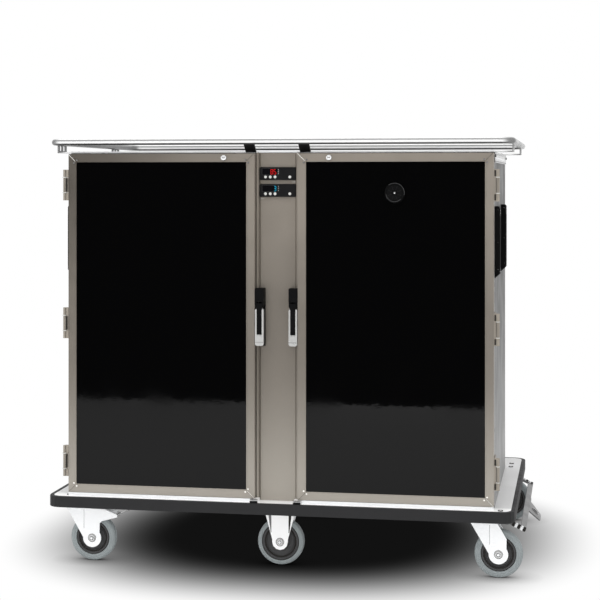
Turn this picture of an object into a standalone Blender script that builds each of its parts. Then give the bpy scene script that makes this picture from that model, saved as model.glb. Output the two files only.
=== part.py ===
"""A twin-compartment insulated food transport cart, as an assembly of named pieces.

Metres, +Z up. The doors face -Y and the tow bar is at +X. The origin is on the floor, at the middle of
the whole cart's box. Everything hangs from one empty, whose own origin is the middle of the platform.
"""

from math import cos, pi, radians, sin

import bmesh
import bpy
from mathutils import Matrix, Vector

MM = 0.001

# Platform, bumper and overall size
BUMPER_LENGTH = 1600 * MM
BUMPER_DEPTH = 1045 * MM
BUMPER_BOTTOM = 191.5 * MM
BUMPER_HEIGHT = 37 * MM
BUMPER_WALL = 14 * MM
BUMPER_CORNER = 45 * MM
BUMPER_RIM = 4 * MM
DECK_SHEET = 30 * MM
GAP = 0.3 * MM
OVERRUN = 2 * MM
SWIVEL_GAP = 0.5 * MM

# Cabinets, column and roof
CABINET_LENGTH = 1460 * MM
CABINET_DEPTH = 762 * MM
CABINET_WALL = 34 * MM
CABINET_CORNER = 12 * MM
COMPARTMENT_TOP = 42 * MM
ROOF_TOP = 1411 * MM
ROOF_SHEET = 2 * MM
ROOF_SKIRT = 35 * MM
ROOF_LIP = 3 * MM
COLUMN_WIDTH = 129 * MM
COLUMN_FOLD = 5 * MM
COLUMN_RETURN = 3 * MM

# Doors
DOOR_LEAD = 27.6 * MM
DOOR_THICKNESS = 34 * MM
DOOR_SPACING = 148 * MM
DOOR_RISE = 12.5 * MM
DOOR_DROP = 4 * MM
FRAME_FACE = 28.5 * MM
FRAME_BEAD = 1.2 * MM
BEAD_WIDTH = 3 * MM
PANEL_THICKNESS = 5 * MM
PANEL_RECESS = 1.5 * MM
GASKET_THICKNESS = 3.4 * MM
GASKET_WIDTH = 14 * MM
GASKET_INSET = 6 * MM

# Hinges
HINGE_HEIGHT = 106 * MM
HINGE_END = 107 * MM
HINGE_STANDOFF = 14 * MM
HINGE_SETBACK = 2 * MM
KNUCKLE_RADIUS = 5.5 * MM
KNUCKLE_SHARE = 0.5
KNUCKLE_GAP = 0.5 * MM
PIN_RADIUS = 3 * MM
PIN_PLAY = 0.3 * MM
LEAF_THICKNESS = 4 * MM
LEAF_REACH = 34 * MM
LEAF_ARM = 9 * MM

# Tray racks
RACK_UPRIGHT = 26 * MM
RACK_SHEET = 3 * MM
LEDGE_DEPTH = 14 * MM
LEDGE_SHEET = 3 * MM
LEDGE_PITCH = 165 * MM
LEDGE_START = 70 * MM
RACK_END_GAP = 24 * MM
RACK_FRONT_GAP = 45 * MM

# Controllers and their buttons
CONTROLLER_WIDTH = 125 * MM
CONTROLLER_HEIGHT = 44 * MM
CONTROLLER_THICKNESS = 9 * MM
CONTROLLER_CORNER = 6 * MM
CONTROLLER_DROP = 50 * MM
CONTROLLER_PITCH = 57 * MM
WINDOW_WIDTH = 66 * MM
WINDOW_HEIGHT = 20 * MM
WINDOW_DEPTH = 1.5 * MM
WINDOW_OFFSET = -20 * MM
WINDOW_RISE = 8 * MM
BUTTON_RADIUS = 5 * MM
BUTTON_PLAY = 0.4 * MM
BUTTON_PROUD = 1.6 * MM
BUTTON_LENGTH = 5 * MM
BUTTON_TRAVEL = 1.2 * MM
BUTTON_DROP = 11.5 * MM
BUTTON_PLACES = (-42 * MM, -25.5 * MM, -9 * MM, 42 * MM)

# Latches
LATCH_OFFSET = 57.7 * MM
LATCH_WIDTH = 29 * MM
LATCH_PROUD = 40 * MM
LATCH_RISE = 127 * MM
LATCH_HEIGHT = 196 * MM
LATCH_PIVOT_DROP = 58 * MM
LATCH_BASE = 7 * MM
LATCH_HEAD_DROP = 46 * MM
LATCH_CORNER = 5 * MM
LATCH_EAR = 5 * MM
LATCH_EAR_RADIUS = 7 * MM
LEVER_THICKNESS = 13 * MM
LEVER_EYE_RADIUS = 8 * MM
LEVER_CORNER = 7 * MM
LEVER_TIP_CLEARANCE = 2 * MM
INLAY_WIDTH = 16 * MM
INLAY_DEPTH = 2 * MM
INLAY_END = 34 * MM
LEVER_PIN_RADIUS = 3 * MM

# Cam locks and the rotary vent
LOCK_OFFSET = 180.7 * MM
LOCK_RADIUS = 9.5 * MM
LOCK_PROUD = 6 * MM
LOCK_EDGE = 1.5 * MM
LOCK_SLOT = 2.5 * MM
LOCK_SLOT_DEPTH = 2 * MM
VENT_DROP = 133 * MM
VENT_RADIUS = 35.5 * MM
VENT_RIM = 6.5 * MM
VENT_PROUD = 5 * MM
VENT_DISC_THICKNESS = 4 * MM
VENT_SLOT_INNER = 10 * MM
VENT_SLOT_OUTER = 24 * MM
VENT_SLOT_DEPTH = 2.5 * MM
VENT_SLOT_COUNT = 8
VENT_SLOT_TURN_SHARE = 0.4
VENT_SCREW_RADIUS = 4 * MM
VENT_SCREW_HEIGHT = 2 * MM

# Top rail
RAIL_RADIUS = 11 * MM
RAIL_RISE = 37 * MM
RAIL_INSET = 10 * MM
RAIL_FRONT_INSET = 20 * MM
RAIL_CORNER = 48 * MM
BRACKET_LENGTH = 90 * MM
BRACKET_SHEET = 4 * MM
BRACKET_FRONT = 115 * MM
BRACKET_REAR = 760 * MM
BRACKET_WINDOW = 20 * MM
BRACKET_FOOT = 22 * MM
STRAP_OFFSET = 94 * MM
STRAP_WIDTH = 37 * MM

# End grips
GRIP_HEIGHT = 236 * MM
GRIP_WIDTH = 54 * MM
GRIP_PROUD = 14 * MM
GRIP_DROP = 172 * MM
GRIP_CHAMFER = 16 * MM
GRIP_ROUND = 9 * MM
GRIP_FRONT = 46 * MM
GRIP_REAR = 478 * MM
GRIP_SCOOP_RADIUS = 60 * MM
GRIP_SCOOP_DEPTH = 7 * MM
GRIP_SCOOP_MARGIN = 34 * MM

# Casters
WHEEL_RADIUS = 80 * MM
TYRE_WIDTH = 38 * MM
TYRE_SHOULDER = 8 * MM
HUB_RADIUS = 56 * MM
HUB_WIDTH = 44 * MM
HUB_RIM_WIDTH = 30 * MM
HUB_WEB_WIDTH = 16 * MM
HUB_BOSS_RADIUS = 17 * MM
HUB_RIM_THICKNESS = 10 * MM
AXLE_RADIUS = 6 * MM
AXLE_PLAY = 0.3 * MM
AXLE_HEAD_RADIUS = 10 * MM
AXLE_HEAD = 4 * MM
CASTER_INSET = 75 * MM
CASTER_SIDE_OFFSET = 698 * MM
CASTER_TRAIL = 46 * MM
FIXED_INBOARD = 50 * MM
PLATE_LENGTH = 126 * MM
PLATE_DEPTH = 100 * MM
PLATE_THICKNESS = 5 * MM
RACE_RADIUS = 31 * MM
RACE_HEIGHT = 6 * MM
CROWN_RADIUS = 37 * MM
CROWN_HEIGHT = 9 * MM
FORK_SHEET = 4 * MM
FORK_LOBE = 27 * MM
FORK_HALF_TOP = 44 * MM
FORK_SIDE_PLAY = 1 * MM
FORK_LOW_SHARE = 0.3
FLARE_REACH = 29 * MM
BRAKE_ARM_REACH = 90 * MM
BRAKE_ARM_DROP = 24 * MM
BRAKE_ARM_HEIGHT = 15 * MM
PEDAL_LENGTH = 46 * MM
PEDAL_SHEET = 4 * MM
PEDAL_RISE = radians(24)
PEDAL_EYE_RADIUS = 6 * MM
PEDAL_PIN_RADIUS = 3 * MM

# Tow bar
TOW_PIVOT_INSET = 30 * MM
TOW_PIVOT_DROP = 16 * MM
TOW_ARM_LENGTH = 56 * MM
TOW_SLOPE = radians(25)
TOW_HALF_SPAN = 405 * MM
TOW_STRIP = 25 * MM
TOW_SHEET = 5 * MM
TOW_EYE_RADIUS = 9 * MM
TOW_PIN_RADIUS = 4 * MM
TOW_LUG = 5 * MM
TONGUE_WIDTH = 100 * MM
TONGUE_LENGTH = 58 * MM
TONGUE_TIP_SHARE = 0.5
TONGUE_DROP = radians(22)
TONGUE_HOLE_RADIUS = 12 * MM

# Cooling unit on the back, and the door rests
UNIT_WIDTH = 620 * MM
UNIT_HEIGHT = 520 * MM
UNIT_DEPTH = 180 * MM
UNIT_CORNER = 12 * MM
LOUVRE_WIDTH = 420 * MM
LOUVRE_HEIGHT = 9 * MM
LOUVRE_DEPTH = 10 * MM
LOUVRE_PITCH = 26 * MM
LOUVRE_ROWS = 12
LOUVRE_START = 90 * MM
REST_LENGTH = 27 * MM
REST_DEPTH = 40 * MM
REST_HEIGHT = 10.5 * MM

# Smoothness of the round pieces
TYRE_SEGMENTS = 28
VENT_SEGMENTS = 24
HUB_SEGMENTS = 16
ROUND_SEGMENTS = 12
FINE_SEGMENTS = 10
PIN_SEGMENTS = 8
CORNER_STEPS = 4
LOBE_STEPS = 6
RAIL_SIDES = 12
SMOOTH_ANGLE = radians(35)

# Levels and planes that several pieces share
DECK_TOP = BUMPER_BOTTOM + BUMPER_HEIGHT
DECK_BOTTOM = DECK_TOP - DECK_SHEET
CABINET_BOTTOM = DECK_TOP + GAP
RAIL_AXIS_HEIGHT = ROOF_TOP + RAIL_RISE
CABINET_TOP = ROOF_TOP - ROOF_SHEET - GAP
FRONT_EDGE = -BUMPER_DEPTH / 2
DOOR_FRONT = FRONT_EDGE + DOOR_LEAD
DOOR_BACK = DOOR_FRONT + DOOR_THICKNESS
CABINET_FRONT = DOOR_BACK + GASKET_THICKNESS + 2 * GAP
CABINET_BACK = CABINET_FRONT + CABINET_DEPTH
DOOR_OUTER = CABINET_LENGTH / 2
DOOR_INNER = DOOR_SPACING / 2
DOOR_BOTTOM = DECK_TOP + DOOR_RISE
DOOR_TOP = ROOF_TOP - DOOR_DROP
DOOR_MIDDLE = (DOOR_TOP + DOOR_BOTTOM) / 2
HINGE_SPREAD = (DOOR_TOP - DOOR_BOTTOM) / 2 - HINGE_END
CONTROLLER_TOP = ROOF_TOP - CONTROLLER_DROP
LATCH_TOP = DOOR_MIDDLE + LATCH_RISE
LATCH_BOTTOM = LATCH_TOP - LATCH_HEIGHT
LATCH_PIVOT = LATCH_TOP - LATCH_PIVOT_DROP
GRIP_TOP = ROOF_TOP - GRIP_DROP
COLUMN_SIDE = COLUMN_WIDTH / 2
CABINET_INNER = COLUMN_SIDE + GAP
HINGE_X = DOOR_OUTER + HINGE_STANDOFF
HINGE_Y = DOOR_FRONT + HINGE_SETBACK
HINGE_HEIGHTS = (DOOR_MIDDLE - HINGE_SPREAD, DOOR_MIDDLE, DOOR_MIDDLE + HINGE_SPREAD)
LATCH_FRONT = CABINET_FRONT - LATCH_PROUD
LATCH_PIVOT_Y = LATCH_FRONT + LEVER_EYE_RADIUS
PLATE_BOTTOM = DECK_BOTTOM - PLATE_THICKNESS
RACE_BOTTOM = PLATE_BOTTOM - RACE_HEIGHT
CROWN_TOP = RACE_BOTTOM - SWIVEL_GAP
CROWN_BOTTOM = CROWN_TOP - CROWN_HEIGHT
FORK_INNER = HUB_WIDTH / 2 + FORK_SIDE_PLAY
FORK_OUTER = FORK_INNER + FORK_SHEET
CASTER_Y = BUMPER_DEPTH / 2 - CASTER_INSET
FIXED_Y = CASTER_Y - FIXED_INBOARD
TOW_PIVOT_X = BUMPER_LENGTH / 2 - TOW_PIVOT_INSET
TOW_PIVOT_Z = BUMPER_BOTTOM - TOW_PIVOT_DROP
TONGUE_ROOT = TOW_ARM_LENGTH + TOW_STRIP / 2
TOW_TIP_X = TOW_PIVOT_X + TONGUE_ROOT * cos(TOW_SLOPE) + TONGUE_LENGTH * cos(TOW_SLOPE + TONGUE_DROP)
TOW_REACH = max(TOW_TIP_X - BUMPER_LENGTH / 2, 0)


def make_collection(name):
    """A collection linked to the scene."""
    collection = bpy.data.collections.new(name)
    bpy.context.scene.collection.children.link(collection)
    return collection


def make_material(name, colour, roughness, metallic):
    """A Principled material of one colour, given in linear values."""
    material = bpy.data.materials.new(name)
    material.use_nodes = True
    shader = material.node_tree.nodes["Principled BSDF"]
    shader.inputs["Base Color"].default_value = (*colour, 1.0)
    shader.inputs["Roughness"].default_value = roughness
    shader.inputs["Metallic"].default_value = metallic
    material.diffuse_color = (*colour, 1.0)
    return material


for old in list(bpy.data.objects):
    bpy.data.objects.remove(old)

PARTS = make_collection("food_transport_cart")
WORKSHOP = make_collection("cutters")

CHAMPAGNE = make_material("champagne_aluminium", (0.27, 0.24, 0.20), 0.42, 0.8)
GLOSS_BLACK = make_material("gloss_black_panel", (0.006, 0.006, 0.007), 0.12, 0.0)
STAINLESS = make_material("brushed_stainless", (0.55, 0.55, 0.54), 0.35, 1.0)
POLISHED = make_material("polished_stainless", (0.75, 0.75, 0.75), 0.12, 1.0)
WALL_GREY = make_material("satin_grey_wall", (0.38, 0.38, 0.39), 0.40, 0.7)
ZINC = make_material("bright_zinc", (0.70, 0.71, 0.72), 0.28, 1.0)
BLACK_PLASTIC = make_material("black_plastic", (0.015, 0.015, 0.016), 0.45, 0.0)
BUTTON_WHITE = make_material("pale_button_plastic", (0.72, 0.72, 0.70), 0.40, 0.0)
RUBBER = make_material("dark_rubber", (0.035, 0.035, 0.038), 0.65, 0.0)
TYRE_GREY = make_material("grey_tyre", (0.23, 0.26, 0.27), 0.60, 0.0)
SILVER = make_material("satin_silver", (0.62, 0.62, 0.62), 0.30, 0.9)

CART = bpy.data.objects.new("cart_origin", None)
CART.location = (-TOW_REACH / 2, 0, 0)
PARTS.objects.link(CART)


def add_object(name, mesh, collection=None):
    """A mesh object in the given collection, or in the cutters' one."""
    obj = bpy.data.objects.new(name, mesh)
    (collection or WORKSHOP).objects.link(obj)
    return obj


def from_bmesh(name, bm):
    """Turns a bmesh into an object, with its faces pointing out."""
    bmesh.ops.remove_doubles(bm, verts=bm.verts, dist=MM / 1000)
    bmesh.ops.recalc_face_normals(bm, faces=bm.faces)
    mesh = bpy.data.meshes.new(name)
    bm.to_mesh(mesh)
    bm.free()
    return add_object(name, mesh)


def settled(obj):
    """Replaces an object by a plain mesh object of its evaluated shape, in world space."""
    bpy.context.view_layer.update()
    graph = bpy.context.evaluated_depsgraph_get()
    mesh = bpy.data.meshes.new_from_object(obj.evaluated_get(graph))
    mesh.transform(obj.matrix_world)
    name = obj.name
    bpy.data.objects.remove(obj)
    bm = bmesh.new()
    bm.from_mesh(mesh)
    return from_bmesh(name, bm)


def block(low, high, bevel=0, name="block"):
    """A box between two corners, its edges rounded by a small bevel if one is given."""
    low, high = Vector(low), Vector(high)
    bm = bmesh.new()
    bmesh.ops.create_cube(bm, size=1)
    bmesh.ops.scale(bm, vec=high - low, verts=bm.verts)
    bmesh.ops.translate(bm, vec=(low + high) / 2, verts=bm.verts)
    if bevel:
        bmesh.ops.bevel(bm, geom=bm.edges[:], offset=bevel, segments=2, profile=0.5, affect="EDGES")
    return from_bmesh(name, bm)


def rod(radius, start, end, segments=ROUND_SEGMENTS, end_radius=None, name="rod"):
    """A cylinder or cone between two points."""
    start, end = Vector(start), Vector(end)
    bm = bmesh.new()
    bmesh.ops.create_cone(
        bm,
        cap_ends=True,
        segments=segments,
        radius1=radius,
        radius2=radius if end_radius is None else end_radius,
        depth=(end - start).length,
    )
    turn = (end - start).to_track_quat("Z", "Y").to_matrix().to_4x4()
    bmesh.ops.transform(bm, matrix=Matrix.Translation((start + end) / 2) @ turn, verts=bm.verts)
    return from_bmesh(name, bm)


def plate(outlines, low, high, plane="XZ", name="plate"):
    """A flat outline, with any holes as further outlines, extruded from low to high across its plane."""
    curve = bpy.data.curves.new(name, "CURVE")
    curve.dimensions = "2D"
    curve.fill_mode = "BOTH"
    curve.extrude = (high - low) / 2
    for outline in outlines:
        spline = curve.splines.new("POLY")
        spline.points.add(len(outline) - 1)
        for point, (across, up) in zip(spline.points, outline):
            point.co = (across, up, 0, 1)
        spline.use_cyclic_u = True
    obj = add_object(name, curve)
    middle = (low + high) / 2
    frames = {
        "XY": Matrix(((1, 0, 0, 0), (0, 1, 0, 0), (0, 0, 1, middle), (0, 0, 0, 1))),
        "XZ": Matrix(((1, 0, 0, 0), (0, 0, 1, middle), (0, 1, 0, 0), (0, 0, 0, 1))),
        "YZ": Matrix(((0, 0, 1, middle), (1, 0, 0, 0), (0, 1, 0, 0), (0, 0, 0, 1))),
    }
    obj.matrix_world = frames[plane]
    return settled(obj)


def turned(profile, segments, name="turned"):
    """A turned solid about Z from a closed or axis-to-axis profile of (radius, height) points."""
    mesh = bpy.data.meshes.new(name)
    points = [(radius, 0, height) for radius, height in profile]
    closed = all(radius > 0 for radius, _ in profile)
    edges = [(i, i + 1) for i in range(len(points) - 1)]
    if closed:
        edges.append((len(points) - 1, 0))
    mesh.from_pydata(points, edges, [])
    obj = add_object(name, mesh)
    screw = obj.modifiers.new("turn", "SCREW")
    screw.steps = segments
    screw.render_steps = segments
    screw.use_merge_vertices = True
    screw.merge_threshold = MM / 100
    return settled(obj)


def tube(points, radius, cyclic=False, sides=RAIL_SIDES, name="tube"):
    """A round tube or bar along a list of points."""
    curve = bpy.data.curves.new(name, "CURVE")
    curve.dimensions = "3D"
    curve.bevel_depth = radius
    curve.bevel_resolution = sides // 4 - 1
    curve.use_fill_caps = True
    spline = curve.splines.new("POLY")
    spline.points.add(len(points) - 1)
    for point, place in zip(spline.points, points):
        point.co = (*place, 1)
    spline.use_cyclic_u = cyclic
    return settled(add_object(name, curve))


def combine(target, others, operation):
    """Applies a Boolean with each of the other objects, which are used up."""
    for other in others:
        modifier = target.modifiers.new("combine", "BOOLEAN")
        modifier.operation = operation
        modifier.solver = "EXACT"
        modifier.object = other
        other.hide_render = True
        other.display_type = "WIRE"
    target = settled(target)
    for other in others:
        bpy.data.objects.remove(other)
    return target


def union(target, *others):
    """The target with the others joined on."""
    return combine(target, others, "UNION")


def cut(target, *others):
    """The target with the others cut away."""
    return combine(target, others, "DIFFERENCE")


def moved(obj, offset, turn=None):
    """Moves an object's mesh, after turning it by the given matrix."""
    matrix = Matrix.Translation(Vector(offset)) @ (turn or Matrix.Identity(4))
    obj.data.transform(matrix)
    return obj


def mirrored(obj):
    """The same solid on the other side of the cart."""
    obj.data.transform(Matrix.Scale(-1, 4, (1, 0, 0)))
    obj.data.flip_normals()
    return obj


def to_left(obj, side):
    """A solid modelled for the right side, mirrored where the side is -1."""
    return mirrored(obj) if side < 0 else obj


def part(name, obj, material, origin=(0, 0, 0)):
    """Makes an object a finished piece, whose origin lies on its joint's axis or its seat."""
    obj.name = name
    obj.data.name = name
    obj.data.materials.clear()
    obj.data.materials.append(material)
    obj.data.transform(Matrix.Translation(-Vector(origin)))
    obj.data.shade_smooth()
    obj.data.set_sharp_from_angle(angle=SMOOTH_ANGLE)
    WORKSHOP.objects.unlink(obj)
    PARTS.objects.link(obj)
    obj.parent = CART
    obj.location = origin
    return obj


def arc(centre, radius, start, end, steps):
    """Points along an arc, with its angles in radians."""
    return [
        (
            centre[0] + radius * cos(start + (end - start) * i / steps),
            centre[1] + radius * sin(start + (end - start) * i / steps),
        )
        for i in range(steps + 1)
    ]


def rounded_rectangle(left, bottom, right, top, radius, steps=CORNER_STEPS):
    """The outline of a rectangle with round corners."""
    return (
        arc((right - radius, top - radius), radius, 0, pi / 2, steps)
        + arc((left + radius, top - radius), radius, pi / 2, pi, steps)
        + arc((left + radius, bottom + radius), radius, pi, 3 * pi / 2, steps)
        + arc((right - radius, bottom + radius), radius, 3 * pi / 2, 2 * pi, steps)
    )


def rectangle(left, bottom, right, top):
    """The outline of a plain rectangle."""
    return [(left, bottom), (right, bottom), (right, top), (left, top)]


def inset(sides, distance):
    """The left, bottom, right and top of a rectangle drawn in by a distance."""
    left, bottom, right, top = sides
    return left + distance, bottom + distance, right - distance, top - distance


def side_name(side):
    """The word for a side of the cart, as seen from the front."""
    return "left" if side < 0 else "right"


def leg_outline(axle_x, rear_points):
    """A fork leg: a flat top, a raked front edge, a round lobe on the axle and the given rear edge."""
    lobe = arc((axle_x, WHEEL_RADIUS), FORK_LOBE, radians(200), radians(375), LOBE_STEPS)
    return [(-FORK_HALF_TOP, CROWN_BOTTOM + OVERRUN)] + lobe + rear_points


def fork_legs(outline, centre_y):
    """The two legs that stand on either side of a wheel."""
    middle = (FORK_INNER + FORK_OUTER) / 2
    half = FORK_SHEET / 2
    return [
        plate([outline], centre_y + side * middle - half, centre_y + side * middle + half)
        for side in (-1, 1)
    ]


def axle(axle_x, centre_y):
    """An axle with a low head on each end, which the legs hold."""
    reach = FORK_OUTER + AXLE_HEAD
    seat = FORK_OUTER - OVERRUN / 2

    def at(offset):
        """A point on the axle's own line."""
        return axle_x, centre_y + offset, WHEEL_RADIUS

    heads = [rod(AXLE_HEAD_RADIUS, at(side * seat), at(side * reach), FINE_SEGMENTS) for side in (-1, 1)]
    return [rod(AXLE_RADIUS, at(-reach), at(reach), FINE_SEGMENTS)] + heads


def fixed_fork(centre_y):
    """The pieces of a fixed middle fork: legs, flared gussets and an axle, under the deck's plate."""
    top = PLATE_BOTTOM + OVERRUN
    gusset_top = PLATE_BOTTOM + OVERRUN / 2
    lobe = arc((0, WHEEL_RADIUS), FORK_LOBE, radians(180), radians(360), LOBE_STEPS)
    outline = [(-FORK_LOBE, top)] + lobe + [(FORK_LOBE, top)]
    pieces = fork_legs(outline, centre_y) + axle(0, centre_y)
    low = WHEEL_RADIUS + FORK_LOW_SHARE * FORK_LOBE
    for end in (-1, 1):
        gusset = [
            (end * (FORK_LOBE - FORK_SHEET), gusset_top),
            (end * (FORK_LOBE - FORK_SHEET), low),
            (end * FORK_LOBE, low),
            (end * (FORK_LOBE + FLARE_REACH), gusset_top),
        ]
        for side in (-1, 1):
            outer = centre_y + side * (FORK_OUTER - GAP)
            inner = centre_y + side * (FORK_INNER + GAP)
            pieces.append(plate([gusset[::end]], min(inner, outer), max(inner, outer)))
    return pieces


def tow_bracket(side):
    """A lug under the platform with the pin that one arm of the tow bar turns on."""
    y = side * (TOW_HALF_SPAN - TOW_STRIP / 2)
    near = y - side * (TOW_STRIP / 2 + GAP)
    pin = (TOW_PIVOT_X, TOW_PIVOT_Z)
    lug = [
        (TOW_PIVOT_X - TOW_EYE_RADIUS, DECK_BOTTOM + OVERRUN),
        *arc(pin, TOW_EYE_RADIUS, pi, 2 * pi, CORNER_STEPS),
        (TOW_PIVOT_X + TOW_EYE_RADIUS, DECK_BOTTOM + OVERRUN),
    ]
    far = near - side * TOW_LUG
    pin_end = y + side * (TOW_STRIP / 2 + TOW_PIN_RADIUS)
    return [
        plate([lug], min(near, far), max(near, far)),
        rod(TOW_PIN_RADIUS, (pin[0], far, pin[1]), (pin[0], pin_end, pin[1]), PIN_SEGMENTS),
    ]


def make_deck():
    """The platform, with its caster plates, swivel races, fixed middle forks, tow lugs and door rests."""
    edge_x = BUMPER_LENGTH / 2 - BUMPER_WALL - GAP
    edge_y = BUMPER_DEPTH / 2 - BUMPER_WALL - GAP
    corner = BUMPER_CORNER - BUMPER_WALL
    outline = rounded_rectangle(-edge_x, -edge_y, edge_x, edge_y, corner)
    pieces = []
    for x in (-CASTER_SIDE_OFFSET, 0, CASTER_SIDE_OFFSET):
        for side in (-1, 1):
            y = side * (CASTER_Y if x else FIXED_Y)
            low = (x - PLATE_LENGTH / 2, y - PLATE_DEPTH / 2, PLATE_BOTTOM)
            high = (x + PLATE_LENGTH / 2, y + PLATE_DEPTH / 2, DECK_BOTTOM + OVERRUN)
            pieces.append(block(low, high))
            if x:
                ends = (x, y, RACE_BOTTOM), (x, y, PLATE_BOTTOM + OVERRUN)
                pieces.append(rod(RACE_RADIUS, *ends, HUB_SEGMENTS))
            else:
                pieces += fixed_fork(y)
    for side in (-1, 1):
        pieces += tow_bracket(side)
        inner = side * (DOOR_INNER - REST_LENGTH / 2)
        outer = side * (DOOR_INNER + REST_LENGTH / 2)
        pieces.append(block(
            (min(inner, outer), DOOR_FRONT - REST_DEPTH / 3, DECK_TOP - OVERRUN),
            (max(inner, outer), DOOR_FRONT + 2 * REST_DEPTH / 3, DECK_TOP + REST_HEIGHT),
        ))
    body = plate([outline], DECK_BOTTOM, DECK_TOP, "XY")
    part("deck", union(body, *pieces), STAINLESS)


def make_bumper():
    """The rubber bumper, a band round the whole platform."""
    half_x, half_y = BUMPER_LENGTH / 2, BUMPER_DEPTH / 2
    inner_x, inner_y = half_x - BUMPER_WALL, half_y - BUMPER_WALL
    outer = rounded_rectangle(-half_x, -half_y, half_x, half_y, BUMPER_CORNER)
    inner = rounded_rectangle(-inner_x, -inner_y, inner_x, inner_y, BUMPER_CORNER - BUMPER_WALL)
    band = plate([outer, inner], BUMPER_BOTTOM, DECK_TOP, "XY")
    bevel = band.modifiers.new("rim", "BEVEL")
    bevel.width = BUMPER_RIM
    bevel.segments = 1
    bevel.limit_method = "ANGLE"
    bevel.angle_limit = radians(60)
    part("bumper", settled(band), RUBBER)


def hinge_heights_range():
    """The bottom and top of each hinge."""
    return [(middle - HINGE_HEIGHT / 2, middle + HINGE_HEIGHT / 2) for middle in HINGE_HEIGHTS]


def frame_hinges():
    """The right cabinet's halves of its hinges: leaf, arm and two knuckles on one pin, for each hinge."""
    pieces = []
    knuckle = HINGE_HEIGHT * (1 - KNUCKLE_SHARE) / 2
    for low, high in hinge_heights_range():
        pieces.append(block(
            (DOOR_OUTER - OVERRUN, CABINET_FRONT, low),
            (DOOR_OUTER + LEAF_THICKNESS, CABINET_FRONT + LEAF_REACH, high),
        ))
        for start, end in ((low, low + knuckle), (high - knuckle, high)):
            ends = (HINGE_X, HINGE_Y, start), (HINGE_X, HINGE_Y, end)
            pieces.append(rod(KNUCKLE_RADIUS, *ends, FINE_SEGMENTS))
            pieces.append(block(
                (DOOR_OUTER + GAP, HINGE_Y - KNUCKLE_RADIUS * KNUCKLE_SHARE, start),
                (HINGE_X, HINGE_Y + LEAF_ARM, end),
            ))
            pieces.append(block(
                (DOOR_OUTER + GAP, HINGE_Y, start),
                (DOOR_OUTER + LEAF_THICKNESS, CABINET_FRONT + OVERRUN, end),
            ))
        ends = (HINGE_X, HINGE_Y, low + OVERRUN), (HINGE_X, HINGE_Y, high - OVERRUN)
        pieces.append(rod(PIN_RADIUS, *ends, PIN_SEGMENTS))
    return pieces


def make_cabinet(side):
    """One insulated compartment: a hollow box with coved corners, open at the front."""
    shell = block((CABINET_INNER, CABINET_FRONT, CABINET_BOTTOM), (DOOR_OUTER, CABINET_BACK, CABINET_TOP))
    cavity = plate(
        [rounded_rectangle(
            CABINET_INNER + CABINET_WALL, CABINET_BOTTOM + CABINET_WALL,
            DOOR_OUTER - CABINET_WALL, CABINET_TOP - COMPARTMENT_TOP, CABINET_CORNER, 3,
        )],
        CABINET_FRONT - OVERRUN, CABINET_BACK - CABINET_WALL,
    )
    shell = cut(shell, cavity)
    part(f"cabinet_{side_name(side)}", to_left(union(shell, *frame_hinges()), side), WALL_GREY)


def make_rack(side, wall):
    """A tray rack on one inner wall of a compartment: two uprights that carry the ledges."""
    inner = CABINET_INNER + CABINET_WALL + GAP
    outer = DOOR_OUTER - CABINET_WALL - GAP
    at, inward = (inner, 1) if wall == "column" else (outer, -1)
    front = CABINET_FRONT + RACK_FRONT_GAP
    back = CABINET_BACK - CABINET_WALL - RACK_FRONT_GAP
    low = CABINET_BOTTOM + CABINET_WALL + RACK_END_GAP
    high = CABINET_TOP - COMPARTMENT_TOP - RACK_END_GAP

    def wall_block(start_y, end_y, start_z, end_z, depth):
        """A box that stands off the wall by the given depth."""
        return block(
            (min(at, at + inward * depth), start_y, start_z),
            (max(at, at + inward * depth), end_y, end_z),
        )

    span = back - front
    uprights = [
        wall_block(y, y + RACK_UPRIGHT, low, high, RACK_SHEET)
        for y in (front + span / 5, back - span / 5 - RACK_UPRIGHT)
    ]
    ledges = []
    level = low + LEDGE_START
    while level + LEDGE_SHEET < high:
        ledges.append(wall_block(front, back, level, level + LEDGE_SHEET, LEDGE_DEPTH))
        level += LEDGE_PITCH
    rack = union(uprights[0], *uprights[1:], *ledges)
    part(f"rack_{side_name(side)}_{wall}", to_left(rack, side), STAINLESS)


def make_column():
    """The service column between the compartments, with a folded front panel."""
    outline = [
        (-COLUMN_SIDE, CABINET_BACK),
        (-COLUMN_SIDE, CABINET_FRONT + COLUMN_RETURN),
        (-COLUMN_SIDE + COLUMN_FOLD, CABINET_FRONT),
        (COLUMN_SIDE - COLUMN_FOLD, CABINET_FRONT),
        (COLUMN_SIDE, CABINET_FRONT + COLUMN_RETURN),
        (COLUMN_SIDE, CABINET_BACK),
    ]
    part("centre_column", plate([outline], CABINET_BOTTOM, CABINET_TOP, "XY"), CHAMPAGNE)


def make_roof():
    """The polished roof sheet, folded down over both ends and the back."""
    half = DOOR_OUTER + ROOF_LIP
    outer = block((-half, CABINET_FRONT, ROOF_TOP - ROOF_SKIRT), (half, CABINET_BACK + ROOF_LIP, ROOF_TOP))
    half_inner = DOOR_OUTER + GAP
    hollow = block(
        (-half_inner, CABINET_FRONT - OVERRUN, ROOF_TOP - ROOF_SKIRT - OVERRUN),
        (half_inner, CABINET_BACK + GAP, ROOF_TOP - ROOF_SHEET),
    )
    part("roof_cap", cut(outer, hollow), POLISHED)


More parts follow.
